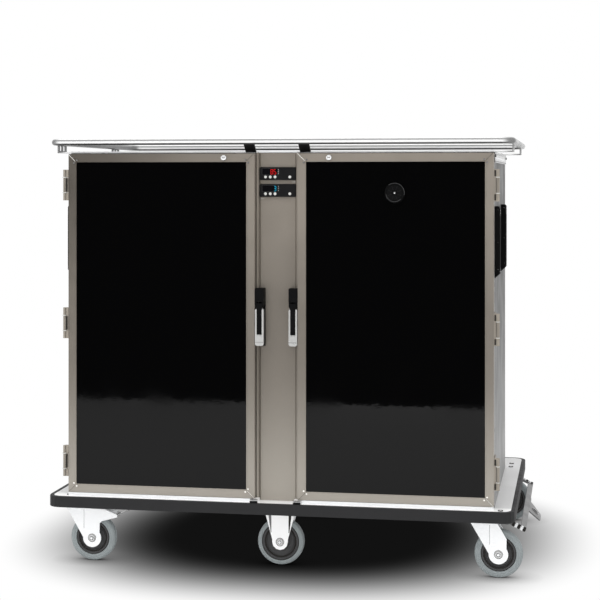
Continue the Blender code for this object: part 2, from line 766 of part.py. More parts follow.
def make_top_rail():
    """The round rail above the roof, with its slotted end brackets and sloping front straps."""
    half_x = BUMPER_LENGTH / 2 - RAIL_INSET
    half_y = BUMPER_DEPTH / 2 - RAIL_FRONT_INSET
    loop = rounded_rectangle(-half_x, -half_y, half_x, half_y, RAIL_CORNER)
    rail = tube([(x, y, RAIL_AXIS_HEIGHT) for x, y in loop], RAIL_RADIUS, cyclic=True)
    foot = ROOF_TOP + GAP
    window_top = RAIL_AXIS_HEIGHT - RAIL_RADIUS + OVERRUN
    window_bottom = foot + 2 * BRACKET_SHEET
    half_window, half_sheet = BRACKET_WINDOW / 2, BRACKET_SHEET / 2
    pieces = []
    for side in (-1, 1):
        for middle in (BRACKET_FRONT, BRACKET_REAR):
            y = DOOR_FRONT + middle
            start, end = y - BRACKET_LENGTH / 2, y + BRACKET_LENGTH / 2
            outline = rectangle(start, foot, end, RAIL_AXIS_HEIGHT)
            windows = [
                rectangle(centre - half_window, window_bottom, centre + half_window, window_top)
                for centre in (y - BRACKET_LENGTH / 5, y + BRACKET_LENGTH / 5)
            ]
            centre = side * half_x
            pieces.append(plate([outline] + windows, centre - half_sheet, centre + half_sheet, "YZ"))
            inboard = side * (DOOR_OUTER - BRACKET_FOOT)
            pieces.append(block(
                (min(centre, inboard), start, foot), (max(centre, inboard), end, foot + BRACKET_SHEET)
            ))
        band = [
            (-half_y, RAIL_AXIS_HEIGHT - BRACKET_SHEET),
            (CABINET_FRONT, foot),
            (CABINET_FRONT + BRACKET_FOOT, foot),
            (CABINET_FRONT + BRACKET_FOOT, foot + BRACKET_SHEET),
            (CABINET_FRONT + BRACKET_SHEET, foot + BRACKET_SHEET),
            (-half_y, RAIL_AXIS_HEIGHT + BRACKET_SHEET),
        ]
        middle = side * STRAP_OFFSET
        pieces.append(plate([band], middle - STRAP_WIDTH / 2, middle + STRAP_WIDTH / 2, "YZ"))
    part("top_rail", union(rail, *pieces), POLISHED)


def make_door(side):
    """One door: a mitred frame with its knuckles, a gloss panel, an insulated core and a gasket."""
    name = f"door_{side_name(side)}"
    outer = (DOOR_INNER, DOOR_BOTTOM, DOOR_OUTER, DOOR_TOP)
    opening = inset(outer, FRAME_FACE)
    frame = plate([rectangle(*outer), rectangle(*opening)], DOOR_FRONT, DOOR_BACK)
    bead_outline = rectangle(*inset(opening, -BEAD_WIDTH))
    bead = plate([bead_outline, rectangle(*opening)], DOOR_FRONT - FRAME_BEAD, DOOR_FRONT + OVERRUN)
    knuckle = HINGE_HEIGHT * KNUCKLE_SHARE / 2 - KNUCKLE_GAP
    knuckles, bores = [], []
    for middle in HINGE_HEIGHTS:
        low, high = middle - knuckle, middle + knuckle
        knuckles.append(rod(KNUCKLE_RADIUS, (HINGE_X, HINGE_Y, low), (HINGE_X, HINGE_Y, high), FINE_SEGMENTS))
        knuckles.append(block(
            (DOOR_OUTER - OVERRUN, HINGE_Y - KNUCKLE_RADIUS * KNUCKLE_SHARE, low),
            (HINGE_X, HINGE_Y + KNUCKLE_RADIUS * KNUCKLE_SHARE, high),
        ))
        ends = (HINGE_X, HINGE_Y, low - OVERRUN), (HINGE_X, HINGE_Y, high + OVERRUN)
        bores.append(rod(PIN_RADIUS + PIN_PLAY, *ends, PIN_SEGMENTS))
    frame = cut(union(frame, bead, *knuckles), *bores)
    hinge = (side * HINGE_X, HINGE_Y, 0)
    part(f"{name}_frame", to_left(frame, side), CHAMPAGNE, hinge)

    inside = inset(opening, GAP)
    face = DOOR_FRONT + PANEL_RECESS
    panel = plate([rectangle(*inside)], face, face + PANEL_THICKNESS)
    if side > 0:
        panel = union(panel, vent_ring(face))
    part(f"{name}_panel", to_left(panel, side), GLOSS_BLACK, hinge)
    core = plate([rectangle(*inside)], face + PANEL_THICKNESS + GAP, DOOR_BACK)
    part(f"{name}_core", to_left(core, side), STAINLESS, hinge)

    seal_outer = inset(outer, GASKET_INSET)
    seal_inner = inset(seal_outer, GASKET_WIDTH)
    seal_front = DOOR_BACK + GAP
    seal = plate([rectangle(*seal_outer), rectangle(*seal_inner)], seal_front, seal_front + GASKET_THICKNESS)
    part(f"{name}_gasket", to_left(seal, side), RUBBER, hinge)


def vent_centre():
    """The middle of the right door's rotary vent, across and up."""
    return (DOOR_INNER + DOOR_OUTER) / 2, DOOR_TOP - VENT_DROP


def facing_front(obj, x, y, z):
    """Turns a solid made about +Z so that its top faces the front, and moves it."""
    return moved(obj, (x, y, z), Matrix.Rotation(pi / 2, 4, "X"))


def vent_ring(face):
    """The fixed housing ring of the rotary vent, standing on the panel's face."""
    x, z = vent_centre()
    inner = VENT_RADIUS - VENT_RIM
    profile = [
        (VENT_RADIUS - VENT_PROUD / 4, VENT_PROUD), (VENT_RADIUS, VENT_PROUD / 2),
        (VENT_RADIUS, -OVERRUN), (inner, -OVERRUN), (inner, VENT_PROUD),
    ]
    return facing_front(turned(profile, VENT_SEGMENTS), x, face, z)


def make_vent_disc():
    """The slotted disc that opens and closes the vent."""
    x, z = vent_centre()
    radius = VENT_RADIUS - VENT_RIM - GAP
    disc = rod(radius, (0, 0, GAP), (0, 0, GAP + VENT_DISC_THICKNESS), VENT_SEGMENTS)
    slots = []
    top = GAP + VENT_DISC_THICKNESS
    screw = rod(VENT_SCREW_RADIUS, (0, 0, GAP), (0, 0, top + VENT_SCREW_HEIGHT), FINE_SEGMENTS)
    for i in range(VENT_SLOT_COUNT):
        turn = 2 * pi * i / VENT_SLOT_COUNT
        half = pi / VENT_SLOT_COUNT * VENT_SLOT_TURN_SHARE
        outline = arc((0, 0), VENT_SLOT_OUTER, turn - half, turn + half, 2)
        outline += arc((0, 0), VENT_SLOT_INNER, turn + half, turn - half, 1)
        slots.append(plate([outline], top - VENT_SLOT_DEPTH, top + OVERRUN, "XY"))
    disc = union(cut(disc, *slots), screw)
    face = DOOR_FRONT + PANEL_RECESS
    part("vent_disc", facing_front(disc, x, face, z), BLACK_PLASTIC, (x, face, z))


def make_cam_lock(side):
    """A quarter-turn lock in a door's top rail."""
    z = DOOR_TOP - FRAME_FACE / 2
    height = LOCK_PROUD
    rim = (LOCK_RADIUS, height - LOCK_EDGE)
    profile = [(0, height), (LOCK_RADIUS - LOCK_EDGE, height), rim, (LOCK_RADIUS, 0), (0, 0)]
    knob = turned(profile, ROUND_SEGMENTS)
    slot = block(
        (-LOCK_RADIUS - OVERRUN, -LOCK_SLOT / 2, height - LOCK_SLOT_DEPTH),
        (LOCK_RADIUS + OVERRUN, LOCK_SLOT / 2, height + OVERRUN),
    )
    knob = facing_front(cut(knob, slot), side * LOCK_OFFSET, DOOR_FRONT - GAP, z)
    part(f"cam_lock_{side_name(side)}", knob, POLISHED, (side * LOCK_OFFSET, DOOR_FRONT - GAP, z))


def make_controller(name, top):
    """A controller's bezel, with a window recess and its four sprung buttons."""
    back = CABINET_FRONT - GAP
    face = back - CONTROLLER_THICKNESS
    half = CONTROLLER_WIDTH / 2
    middle = top - CONTROLLER_HEIGHT / 2
    outline = rounded_rectangle(-half, top - CONTROLLER_HEIGHT, half, top, CONTROLLER_CORNER, 3)
    bezel = plate([outline], face, back)
    window = block(
        (WINDOW_OFFSET - WINDOW_WIDTH / 2, face - OVERRUN, middle + WINDOW_RISE - WINDOW_HEIGHT / 2),
        (WINDOW_OFFSET + WINDOW_WIDTH / 2, face + WINDOW_DEPTH, middle + WINDOW_RISE + WINDOW_HEIGHT / 2),
    )
    z = middle - BUTTON_DROP
    bores = [
        rod(BUTTON_RADIUS + BUTTON_PLAY, (x, face - OVERRUN, z),
            (x, face + BUTTON_LENGTH - BUTTON_PROUD + BUTTON_TRAVEL + GAP, z), FINE_SEGMENTS)
        for x in BUTTON_PLACES
    ]
    part(f"controller_{name}", cut(bezel, window, *bores), BLACK_PLASTIC)
    for number, x in enumerate(BUTTON_PLACES, 1):
        start = face - BUTTON_PROUD
        button = rod(BUTTON_RADIUS, (x, start, z), (x, start + BUTTON_LENGTH, z), FINE_SEGMENTS)
        part(f"button_{name}_{number}", button, BUTTON_WHITE, (x, start, z))


def make_latch(side):
    """A pull latch on the column beside a door: a fixed body with a hooded head, and its lever."""
    name = side_name(side)
    back = CABINET_FRONT - GAP
    left, right = LATCH_OFFSET - LATCH_WIDTH / 2, LATCH_OFFSET + LATCH_WIDTH / 2
    head_bottom = LATCH_TOP - LATCH_HEAD_DROP
    side_outline = [
        (back, LATCH_TOP),
        (LATCH_FRONT + LATCH_CORNER, LATCH_TOP),
        (LATCH_FRONT, LATCH_TOP - LATCH_CORNER),
        (LATCH_FRONT, head_bottom),
        (back - LATCH_BASE, head_bottom),
        (back - LATCH_BASE, LATCH_BOTTOM),
        (back, LATCH_BOTTOM),
    ]
    body = plate([side_outline], left, right, "YZ")
    pivot = (LATCH_PIVOT_Y, LATCH_PIVOT)
    ear = arc(pivot, LATCH_EAR_RADIUS, pi, 2 * pi, CORNER_STEPS)
    ear += [
        (back - OVERRUN, LATCH_PIVOT - OVERRUN),
        (back - OVERRUN, head_bottom + OVERRUN),
        (LATCH_PIVOT_Y - LATCH_EAR_RADIUS, head_bottom + OVERRUN),
    ]
    pieces = [
        plate([ear], left + GAP, left + LATCH_EAR, "YZ"),
        plate([ear], right - LATCH_EAR, right - GAP, "YZ"),
    ]
    half_ear = LATCH_EAR / 2
    pieces.append(rod(LEVER_PIN_RADIUS, (left + half_ear, *pivot), (right - half_ear, *pivot), FINE_SEGMENTS))
    part(f"latch_body_{name}", to_left(union(body, *pieces), side), BLACK_PLASTIC)

    tongue_left, tongue_right = left + LATCH_EAR + GAP, right - LATCH_EAR - GAP
    shoulder = LATCH_PIVOT - LEVER_EYE_RADIUS - LEVER_TIP_CLEARANCE
    eye = arc(pivot, LEVER_EYE_RADIUS, 0, pi, CORNER_STEPS)
    eye += [
        (LATCH_FRONT, shoulder - LEVER_CORNER),
        (LATCH_FRONT + LEVER_THICKNESS, shoulder - LEVER_CORNER),
    ]
    tongue = plate([eye], tongue_left, tongue_right, "YZ")
    low = LATCH_BOTTOM + LEVER_TIP_CLEARANCE
    outline = rounded_rectangle(left, low, right, shoulder, LEVER_CORNER, 3)
    paddle = plate([outline], LATCH_FRONT, LATCH_FRONT + LEVER_THICKNESS)
    inlay = block(
        (LATCH_OFFSET - INLAY_WIDTH / 2, LATCH_FRONT - OVERRUN, low + INLAY_END),
        (LATCH_OFFSET + INLAY_WIDTH / 2, LATCH_FRONT + INLAY_DEPTH, LATCH_PIVOT + OVERRUN),
    )
    bore = rod(LEVER_PIN_RADIUS + PIN_PLAY, (left, *pivot), (right, *pivot), FINE_SEGMENTS)
    lever = cut(union(paddle, tongue), inlay, bore)
    part(f"latch_lever_{name}", to_left(lever, side), SILVER, (side * LATCH_OFFSET, *pivot))


def make_grips(side):
    """The two moulded grips on an end wall, each with a scoop for the fingers."""
    wall = DOOR_OUTER + GAP
    face = wall + GRIP_PROUD
    bottom = GRIP_TOP - GRIP_HEIGHT
    outline = [(wall, GRIP_TOP), (wall, bottom), (face, bottom + GRIP_CHAMFER)]
    outline += arc((face - GRIP_ROUND, GRIP_TOP - GRIP_ROUND), GRIP_ROUND, 0, pi / 2, CORNER_STEPS)
    for name, start in (("front", GRIP_FRONT), ("rear", GRIP_REAR)):
        y = DOOR_FRONT + start
        grip = plate([outline], y, y + GRIP_WIDTH)
        middle = (face + GRIP_SCOOP_RADIUS - GRIP_SCOOP_DEPTH, y + GRIP_WIDTH / 2)
        low, high = bottom + GRIP_SCOOP_MARGIN, GRIP_TOP - GRIP_SCOOP_MARGIN
        scoop = rod(GRIP_SCOOP_RADIUS, (*middle, low), (*middle, high), 2 * TYRE_SEGMENTS)
        part(f"grip_{side_name(side)}_{name}", to_left(cut(grip, scoop), side), BLACK_PLASTIC)


def make_swivel_fork(x_side, y_side):
    """A swivelling fork that trails towards +X. The two at the left end carry a brake arm."""
    name = f"{'front' if y_side < 0 else 'rear'}_{side_name(x_side)}"
    braked = x_side < 0
    top = CROWN_BOTTOM + OVERRUN
    hollow = (CASTER_TRAIL + FORK_LOBE, WHEEL_RADIUS + FORK_LOBE + BRAKE_ARM_DROP)
    if braked:
        arm_z = CROWN_BOTTOM - BRAKE_ARM_DROP
        rear = [
            hollow,
            (hollow[0] + BRAKE_ARM_HEIGHT / 2, hollow[1] + BRAKE_ARM_HEIGHT / 2),
            (CASTER_TRAIL + BRAKE_ARM_REACH, arm_z),
            (CASTER_TRAIL + BRAKE_ARM_REACH, arm_z + BRAKE_ARM_HEIGHT / 2),
            (CASTER_TRAIL + BRAKE_ARM_REACH / 2, top),
        ]
    else:
        rear = [hollow, (FORK_HALF_TOP, top)]
    pieces = fork_legs(leg_outline(CASTER_TRAIL, rear), 0) + axle(CASTER_TRAIL, 0)
    half = FORK_HALF_TOP
    bridge = block((-half, -FORK_OUTER, CROWN_BOTTOM), (half, FORK_OUTER, CROWN_BOTTOM + FORK_SHEET))
    crown = rod(CROWN_RADIUS, (0, 0, CROWN_BOTTOM), (0, 0, CROWN_TOP), HUB_SEGMENTS)
    pivot = pedal_pivot()
    if braked:
        ends = [(pivot[0], side * FORK_OUTER, pivot[1]) for side in (-1, 1)]
        pieces.append(rod(PEDAL_PIN_RADIUS, *ends, PIN_SEGMENTS))
    at = (x_side * CASTER_SIDE_OFFSET, y_side * CASTER_Y, 0)
    part(f"swivel_fork_{name}", moved(union(crown, bridge, *pieces), at), ZINC, at)
    make_wheel(name, at[0] + CASTER_TRAIL, at[1])
    if braked:
        make_pedal(name, at, pivot)


def pedal_pivot():
    """The brake pedal's pivot, trail and height from the swivel's axis on the floor."""
    trail = CASTER_TRAIL + BRAKE_ARM_REACH - PEDAL_EYE_RADIUS
    return trail, CROWN_BOTTOM - BRAKE_ARM_DROP + BRAKE_ARM_HEIGHT / 4


def make_pedal(name, at, pivot):
    """The foot pedal of a braked caster."""
    half = FORK_INNER - FORK_SIDE_PLAY
    eye = rod(PEDAL_EYE_RADIUS, (0, -half, 0), (0, half, 0), FINE_SEGMENTS)
    edge = half - GAP
    blade = block((0, -edge, -PEDAL_SHEET / 2), (PEDAL_LENGTH, edge, PEDAL_SHEET / 2))
    moved(blade, (0, 0, 0), Matrix.Rotation(-PEDAL_RISE, 4, "Y"))
    bore = rod(PEDAL_PIN_RADIUS + PIN_PLAY, (0, -half - OVERRUN, 0), (0, half + OVERRUN, 0), PIN_SEGMENTS)
    place = (at[0] + pivot[0], at[1], pivot[1])
    part(f"brake_pedal_{name}", moved(cut(union(eye, blade), bore), place), SILVER, place)


def make_wheel(name, x, y):
    """A wheel: a hub with a stepped web that runs on the axle, and its tyre."""
    upright = Matrix.Rotation(pi / 2, 4, "X")
    bore = AXLE_RADIUS + AXLE_PLAY
    rim = HUB_RADIUS - HUB_RIM_THICKNESS
    profile = [
        (HUB_RADIUS, HUB_RIM_WIDTH / 2), (HUB_RADIUS, -HUB_RIM_WIDTH / 2), (rim, -HUB_RIM_WIDTH / 2),
        (rim, -HUB_WEB_WIDTH / 2), (HUB_BOSS_RADIUS, -HUB_WEB_WIDTH / 2), (HUB_BOSS_RADIUS, -HUB_WIDTH / 2),
        (bore, -HUB_WIDTH / 2), (bore, HUB_WIDTH / 2), (HUB_BOSS_RADIUS, HUB_WIDTH / 2),
        (HUB_BOSS_RADIUS, HUB_WEB_WIDTH / 2), (rim, HUB_WEB_WIDTH / 2), (rim, HUB_RIM_WIDTH / 2),
    ]
    hub = moved(turned(profile, HUB_SEGMENTS), (x, y, WHEEL_RADIUS), upright)
    part(f"hub_{name}", hub, BLACK_PLASTIC, (x, y, WHEEL_RADIUS))
    inner = (HUB_RADIUS + GAP) / cos(pi / TYRE_SEGMENTS)
    tread = TYRE_WIDTH / 2 - TYRE_SHOULDER
    shoulder = WHEEL_RADIUS - TYRE_SHOULDER / 2
    profile = [
        (WHEEL_RADIUS, tread), (WHEEL_RADIUS, -tread), (shoulder, -TYRE_WIDTH / 2),
        (inner, -HUB_RIM_WIDTH / 2), (inner, HUB_RIM_WIDTH / 2), (shoulder, TYRE_WIDTH / 2),
    ]
    tyre = moved(turned(profile, TYRE_SEGMENTS), (x, y, WHEEL_RADIUS), upright)
    part(f"tyre_{name}", tyre, TYRE_GREY, (x, y, WHEEL_RADIUS))


def make_tow_bar():
    """The tow bar: two arms with eyes, a cross strip and a tongue with a hole, drooping from its pins."""
    eye_and_arm = arc((0, 0), TOW_EYE_RADIUS, radians(40), radians(320), CORNER_STEPS * 2)
    eye_and_arm += [(TOW_ARM_LENGTH, -TOW_SHEET / 2), (TOW_ARM_LENGTH, TOW_SHEET / 2)]
    pieces, bores = [], []
    for side in (-1, 1):
        end = side * TOW_HALF_SPAN
        start = end - side * TOW_STRIP
        pieces.append(plate([eye_and_arm], min(start, end), max(start, end)))
        ends = (0, start - side * OVERRUN, 0), (0, end + side * OVERRUN, 0)
        bores.append(rod(TOW_PIN_RADIUS + PIN_PLAY, *ends, ROUND_SEGMENTS))
    strip = block(
        (TOW_ARM_LENGTH - TOW_STRIP / 2, -TOW_HALF_SPAN, -TOW_SHEET / 2),
        (TONGUE_ROOT, TOW_HALF_SPAN, TOW_SHEET / 2),
    )
    half = TONGUE_WIDTH / 2
    tip = half * TONGUE_TIP_SHARE
    outline = [(-TOW_SHEET, -half), (TONGUE_LENGTH, -tip), (TONGUE_LENGTH, tip), (-TOW_SHEET, half)]
    hole = arc((TONGUE_LENGTH / 2, 0), TONGUE_HOLE_RADIUS, 0, 2 * pi, ROUND_SEGMENTS)[:-1]
    tongue = plate([outline, hole], -TOW_SHEET / 2, TOW_SHEET / 2, "XY")
    moved(tongue, (TONGUE_ROOT - TOW_SHEET / 2, 0, 0), Matrix.Rotation(TONGUE_DROP, 4, "Y"))
    bar = cut(union(strip, tongue, *pieces), *bores)
    pivot = (TOW_PIVOT_X, 0, TOW_PIVOT_Z)
    part("tow_bar", moved(bar, pivot, Matrix.Rotation(TOW_SLOPE, 4, "Y")), ZINC, pivot)


def make_cooling_unit():
    """The louvred cooling unit that stands on the deck behind the cabinets."""
    low_y = CABINET_BACK + ROOF_LIP
    half = UNIT_WIDTH / 2
    outline = rounded_rectangle(-half, CABINET_BOTTOM, half, CABINET_BOTTOM + UNIT_HEIGHT, UNIT_CORNER, 2)
    body = plate([outline], CABINET_BACK + GAP, low_y + UNIT_DEPTH)
    slots = []
    for row in range(LOUVRE_ROWS):
        z = CABINET_BOTTOM + LOUVRE_START + row * LOUVRE_PITCH
        slots.append(block(
            (-LOUVRE_WIDTH / 2, low_y + UNIT_DEPTH - LOUVRE_DEPTH, z),
            (LOUVRE_WIDTH / 2, low_y + UNIT_DEPTH + OVERRUN, z + LOUVRE_HEIGHT),
        ))
    part("cooling_unit", cut(body, *slots), WALL_GREY)


def build_cart():
    """Makes every piece of the cart."""
    make_deck()
    make_bumper()
    make_column()
    make_roof()
    make_top_rail()
    make_cooling_unit()
    make_tow_bar()
    for side in (-1, 1):
        make_cabinet(side)
        make_rack(side, "column")
        make_rack(side, "end")
        make_door(side)
        make_cam_lock(side)
        make_latch(side)
        make_grips(side)
        make_swivel_fork(side, -1)
        make_swivel_fork(side, 1)
        make_wheel(f"middle_{'front' if side < 0 else 'rear'}", 0, side * FIXED_Y)
    make_vent_disc()
    make_controller("upper", CONTROLLER_TOP)
    make_controller("lower", CONTROLLER_TOP - CONTROLLER_PITCH)


build_cart()
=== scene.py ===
"""The looks of a twin-compartment food transport cart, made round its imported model.

Metres, +Z up. The doors face -Y and the tow bar is at +X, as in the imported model.
"""
from math import cos, pi, radians, sin

import bmesh
import bpy
from mathutils import Matrix, Vector


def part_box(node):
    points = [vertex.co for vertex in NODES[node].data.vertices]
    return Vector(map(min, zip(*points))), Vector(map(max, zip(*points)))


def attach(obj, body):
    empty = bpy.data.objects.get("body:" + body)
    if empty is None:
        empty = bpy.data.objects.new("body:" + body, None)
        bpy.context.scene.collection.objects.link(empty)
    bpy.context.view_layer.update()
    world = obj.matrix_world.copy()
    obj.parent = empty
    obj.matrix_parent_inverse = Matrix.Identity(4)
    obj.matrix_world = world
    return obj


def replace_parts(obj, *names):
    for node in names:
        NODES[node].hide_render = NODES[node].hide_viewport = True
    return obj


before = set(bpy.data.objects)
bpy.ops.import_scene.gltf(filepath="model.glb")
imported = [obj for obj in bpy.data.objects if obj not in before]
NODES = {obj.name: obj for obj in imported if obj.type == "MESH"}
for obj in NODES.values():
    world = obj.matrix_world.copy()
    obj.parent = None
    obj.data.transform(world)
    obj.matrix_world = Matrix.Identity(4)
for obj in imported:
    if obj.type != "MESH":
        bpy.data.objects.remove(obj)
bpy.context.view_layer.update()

MM = 0.001
SCENE = bpy.context.scene
SIDES = (("left", -1), ("right", 1))
ENDS = (("near", -1), ("far", 1))

# The camera, which the photograph fixes
IMAGE_SIZE = 600
SENSOR_WIDTH = 36.0
FOCAL_PIXELS = 1570.06
CAMERA_TURN = 0.1761
CAMERA_OFFSET = Vector((1.0074, -5.1947, 1.3152))
HORIZON_ROW = 180.62

# The floor's front edge, and the soft shadow below the cart as an oblong blob on the floor
FLOOR_FRONT = -4.4
SHADOW_CENTRE = (-0.032, 0.1)
SHADOW_HALF = (0.84, 0.837)
SHADOW_SQUARENESS = 2.35
SHADOW_SPAN = (0.49, 1.332)
SHADOW_DEPTH = 2.1
SHADOW_FLOOR = 0.006
CONTACT_REACH = 0.09


def corners(node):
    """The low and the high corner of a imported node's box."""
    return tuple(Vector(corner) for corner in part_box(node))


# Places read from the imported model
COLUMN_LOW, COLUMN_HIGH = corners("centre_column")
CART_X = (COLUMN_LOW.x + COLUMN_HIGH.x) / 2
COLUMN_FRONT = COLUMN_LOW.y
DECK_TOP = corners("bumper")[1].z
PANEL_LOW = corners("door_right_panel")[0]
FRAME_LOW, FRAME_HIGH = corners("door_right_frame")

# Sizes
PANEL_RECESS = 1.5 * MM
FRAME_FACE = 28.5 * MM
DOOR_INNER = 74 * MM
DOOR_OUTER = 730 * MM
HINGE_OFFSET = 744 * MM
HINGE_HEIGHT = 106 * MM
HINGE_PITCH = 476 * MM
KNUCKLE_RADIUS = 5.5 * MM
WHEEL_RADIUS = 80 * MM
FORK_FACE = 27 * MM
RAIL_RADIUS = 11 * MM
TOW_PIVOT = (770 * MM, 175.5 * MM)
TOW_SLOPE = 25
DOOR_FRONT = PANEL_LOW.y - PANEL_RECESS

# What only the photograph shows: half sections of a wheel as (radius, distance) in millimetres, the seam
# where hub and tyre meet, the bolts on the deck from the cart's middle and the doors' front, and the rest
DRAWN_SEAM = 64.4
CASTER_SEAM = 58.4
HUB_BOSS = 17.0
TYRE_HALF = [
    (64.4, 15.0), (65.2, 17.6), (67.4, 18.8), (69.0, 18.9), (69.6, 18.2), (70.6, 18.2), (71.2, 18.8),
    (73.6, 18.4), (76.2, 17.0), (78.4, 14.2), (79.6, 10.2), (80.0, 5.0), (80.0, 0.0),
]
HUB_HALF = [
    (6.4, 21.9), (13.5, 21.9), (16.2, 21.0), (16.9, 19.0), (16.9, 9.6), (19.0, 8.2), (30.0, 7.6),
    (31.0, 9.2), (34.0, 9.2), (35.0, 7.6), (41.0, 7.4), (44.5, 8.2), (47.5, 10.5), (48.9, 12.6),
    (49.6, 13.6), (50.2, 12.2), (54.6, 12.2), (55.2, 14.6), (57.2, 16.4), (61.6, 16.4), (62.4, 15.2),
    (64.2, 15.2),
]
DECK_BOLTS = ((-731, 19), (752, 5), (751, 884), (751, 815), (-731, 884), (-731, 815))
TONGUE_DROP = 22
SEGMENTS_ON = {"8": "abcdefg", "5": "acdfg", "3": "abcdg"}
LEAF_COLOUR = (0.30, 0.27, 0.23)
SHARP_ANGLE = 35


def feed(tree, socket, value):
    """Links a socket, or sets its value."""
    if isinstance(value, bpy.types.NodeSocket):
        tree.links.new(value, socket)
    else:
        socket.default_value = value


def arithmetic(tree, operation, *values):
    """The result of one step of arithmetic on sockets and numbers."""
    node = tree.nodes.new("ShaderNodeMath")
    node.operation = operation
    for socket, value in zip(node.inputs, values):
        feed(tree, socket, value)
    return node.outputs[0]


def ramp(tree, value, start, end, low=0.0, high=1.0, kind="SMOOTHSTEP"):
    """The value, carried from one range to another."""
    node = tree.nodes.new("ShaderNodeMapRange")
    node.interpolation_type = kind
    for socket, item in zip(node.inputs, (value, start, end, low, high)):
        feed(tree, socket, item)
    return node.outputs["Result"]


class Surface:
    """A Principled material whose sockets are fed by short texture chains."""

    def __init__(self, name, colour, roughness, metallic=0.0):
        self.material = bpy.data.materials.new(name)
        self.material.use_nodes = True
        self.material.diffuse_color = (*colour, 1.0)
        self.tree = self.material.node_tree
        self.shader = self.tree.nodes["Principled BSDF"]
        self.shader.inputs["Base Color"].default_value = (*colour, 1.0)
        self.shader.inputs["Roughness"].default_value = roughness
        self.shader.inputs["Metallic"].default_value = metallic

    def node(self, kind, **inputs):
        """Adds a node, with sockets and values given by the names of its inputs."""
        node = self.tree.nodes.new(kind)
        for name, value in inputs.items():
            feed(self.tree, node.inputs[name.replace("_", " ")], value)
        return node

    def place(self, stretch=(1, 1, 1)):
        """The point on the piece in metres, stretched along the axes."""
        point = self.node("ShaderNodeTexCoord").outputs["Object"]
        return self.node("ShaderNodeMapping", Vector=point, Scale=stretch).outputs[0]

    def noise(self, scale, stretch=(1, 1, 1), detail=3.0):
        """A cloudy value from 0 to 1."""
        node = self.node("ShaderNodeTexNoise", Vector=self.place(stretch), Scale=scale, Detail=detail)
        return node.outputs["Fac"]

    def height(self, axis="Z"):
        """One coordinate of the point on the piece."""
        return self.node("ShaderNodeSeparateXYZ", Vector=self.place()).outputs[axis]

    def distance(self):
        """How far along the cart the point is from its middle."""
        return arithmetic(self.tree, "ABSOLUTE", arithmetic(self.tree, "SUBTRACT", self.height("X"), CART_X))

    def remap(self, *values):
        """A value, carried smoothly from one range to another."""
        return ramp(self.tree, *values)

    def mask(self, value, limit):
        """1 where the value is above the limit, else 0."""
        return arithmetic(self.tree, "GREATER_THAN", value, limit)

    def mix(self, factor, first, second):
        """A colour between two colours."""
        node = self.node("ShaderNodeMix")
        node.data_type = "RGBA"
        feed(self.tree, node.inputs["Factor"], factor)
        for socket, value in zip((node.inputs[6], node.inputs[7]), (first, second)):
            feed(self.tree, socket, value if isinstance(value, bpy.types.NodeSocket) else (*value, 1.0))
        return node.outputs[2]

    def colour(self, value):
        """Feeds the base colour."""
        feed(self.tree, self.shader.inputs["Base Color"], value)

    def rough(self, value, low, high, start=0.3, end=0.7):
        """Lets a cloudy value carry the roughness between two levels."""
        feed(self.tree, self.shader.inputs["Roughness"], self.remap(value, start, end, low, high))

    def gloss(self, level):
        """Sets how strongly the clear surface mirrors; 0.5 is plain plastic."""
        self.shader.inputs["Specular IOR Level"].default_value = level
        return self

    def bump(self, height, strength, distance):
        """Adds a bump on top of any bump that is there, its depth in millimetres."""
        socket = self.shader.inputs["Normal"]
        inputs = {"Height": height, "Strength": strength, "Distance": distance * MM}
        if socket.is_linked:
            inputs["Normal"] = socket.links[0].from_socket
        feed(self.tree, socket, self.node("ShaderNodeBump", **inputs).outputs[0])


def shade(colour, factor):
    """A colour made lighter or darker."""
    return tuple(channel * factor for channel in colour)


def brushed(name, colour, roughness, along, metallic=1.0, contrast=0.10):
    """Metal brushed along one axis, with soft blotches in its shine."""
    surface = Surface(name, colour, roughness, metallic)
    grain = surface.noise(2600.0, tuple(0.02 if axis == along else 1.0 for axis in "XYZ"), 4.0)
    surface.colour(surface.mix(grain, shade(colour, 1 - contrast), shade(colour, 1 + contrast)))
    surface.rough(surface.noise(9.0), roughness * 0.85, roughness * 1.2)
    surface.bump(grain, 0.05, 0.1)
    return surface


def make_deck_steel():
    """The deck's sheet, painted paler in front of the doors as a painted highlight, and paler on the fixed
    forks below it.
    """
    surface = brushed("deck_stainless", (0.70, 0.70, 0.70), 0.42, "X", 0.05, 0.04)
    body = surface.shader.inputs["Base Color"].links[0].from_socket
    # Painted highlight: the sheet is painted paler in front of the doors.
    front = surface.remap(surface.height("Y"), COLUMN_FRONT + 12 * MM, COLUMN_FRONT - 4 * MM)
    body = surface.mix(front, body, (0.93, 0.93, 0.93))
    surface.colour(surface.mix(surface.remap(surface.height(), 0.190, 0.180), body, (0.98, 0.98, 0.98)))
    return surface


def moulded(name, colour, roughness, grain_scale=1400.0, grain=0.25):
    """Moulded plastic or rubber with a fine grain and faint dulling."""
    surface = Surface(name, colour, roughness).gloss(0.18)
    cloud = surface.noise(30.0)
    surface.colour(surface.mix(cloud, shade(colour, 0.85), shade(colour, 1.2)))
    surface.rough(cloud, roughness * 0.9, roughness * 1.12)
    surface.bump(surface.noise(grain_scale, detail=2.0), grain, 0.15)
    return surface


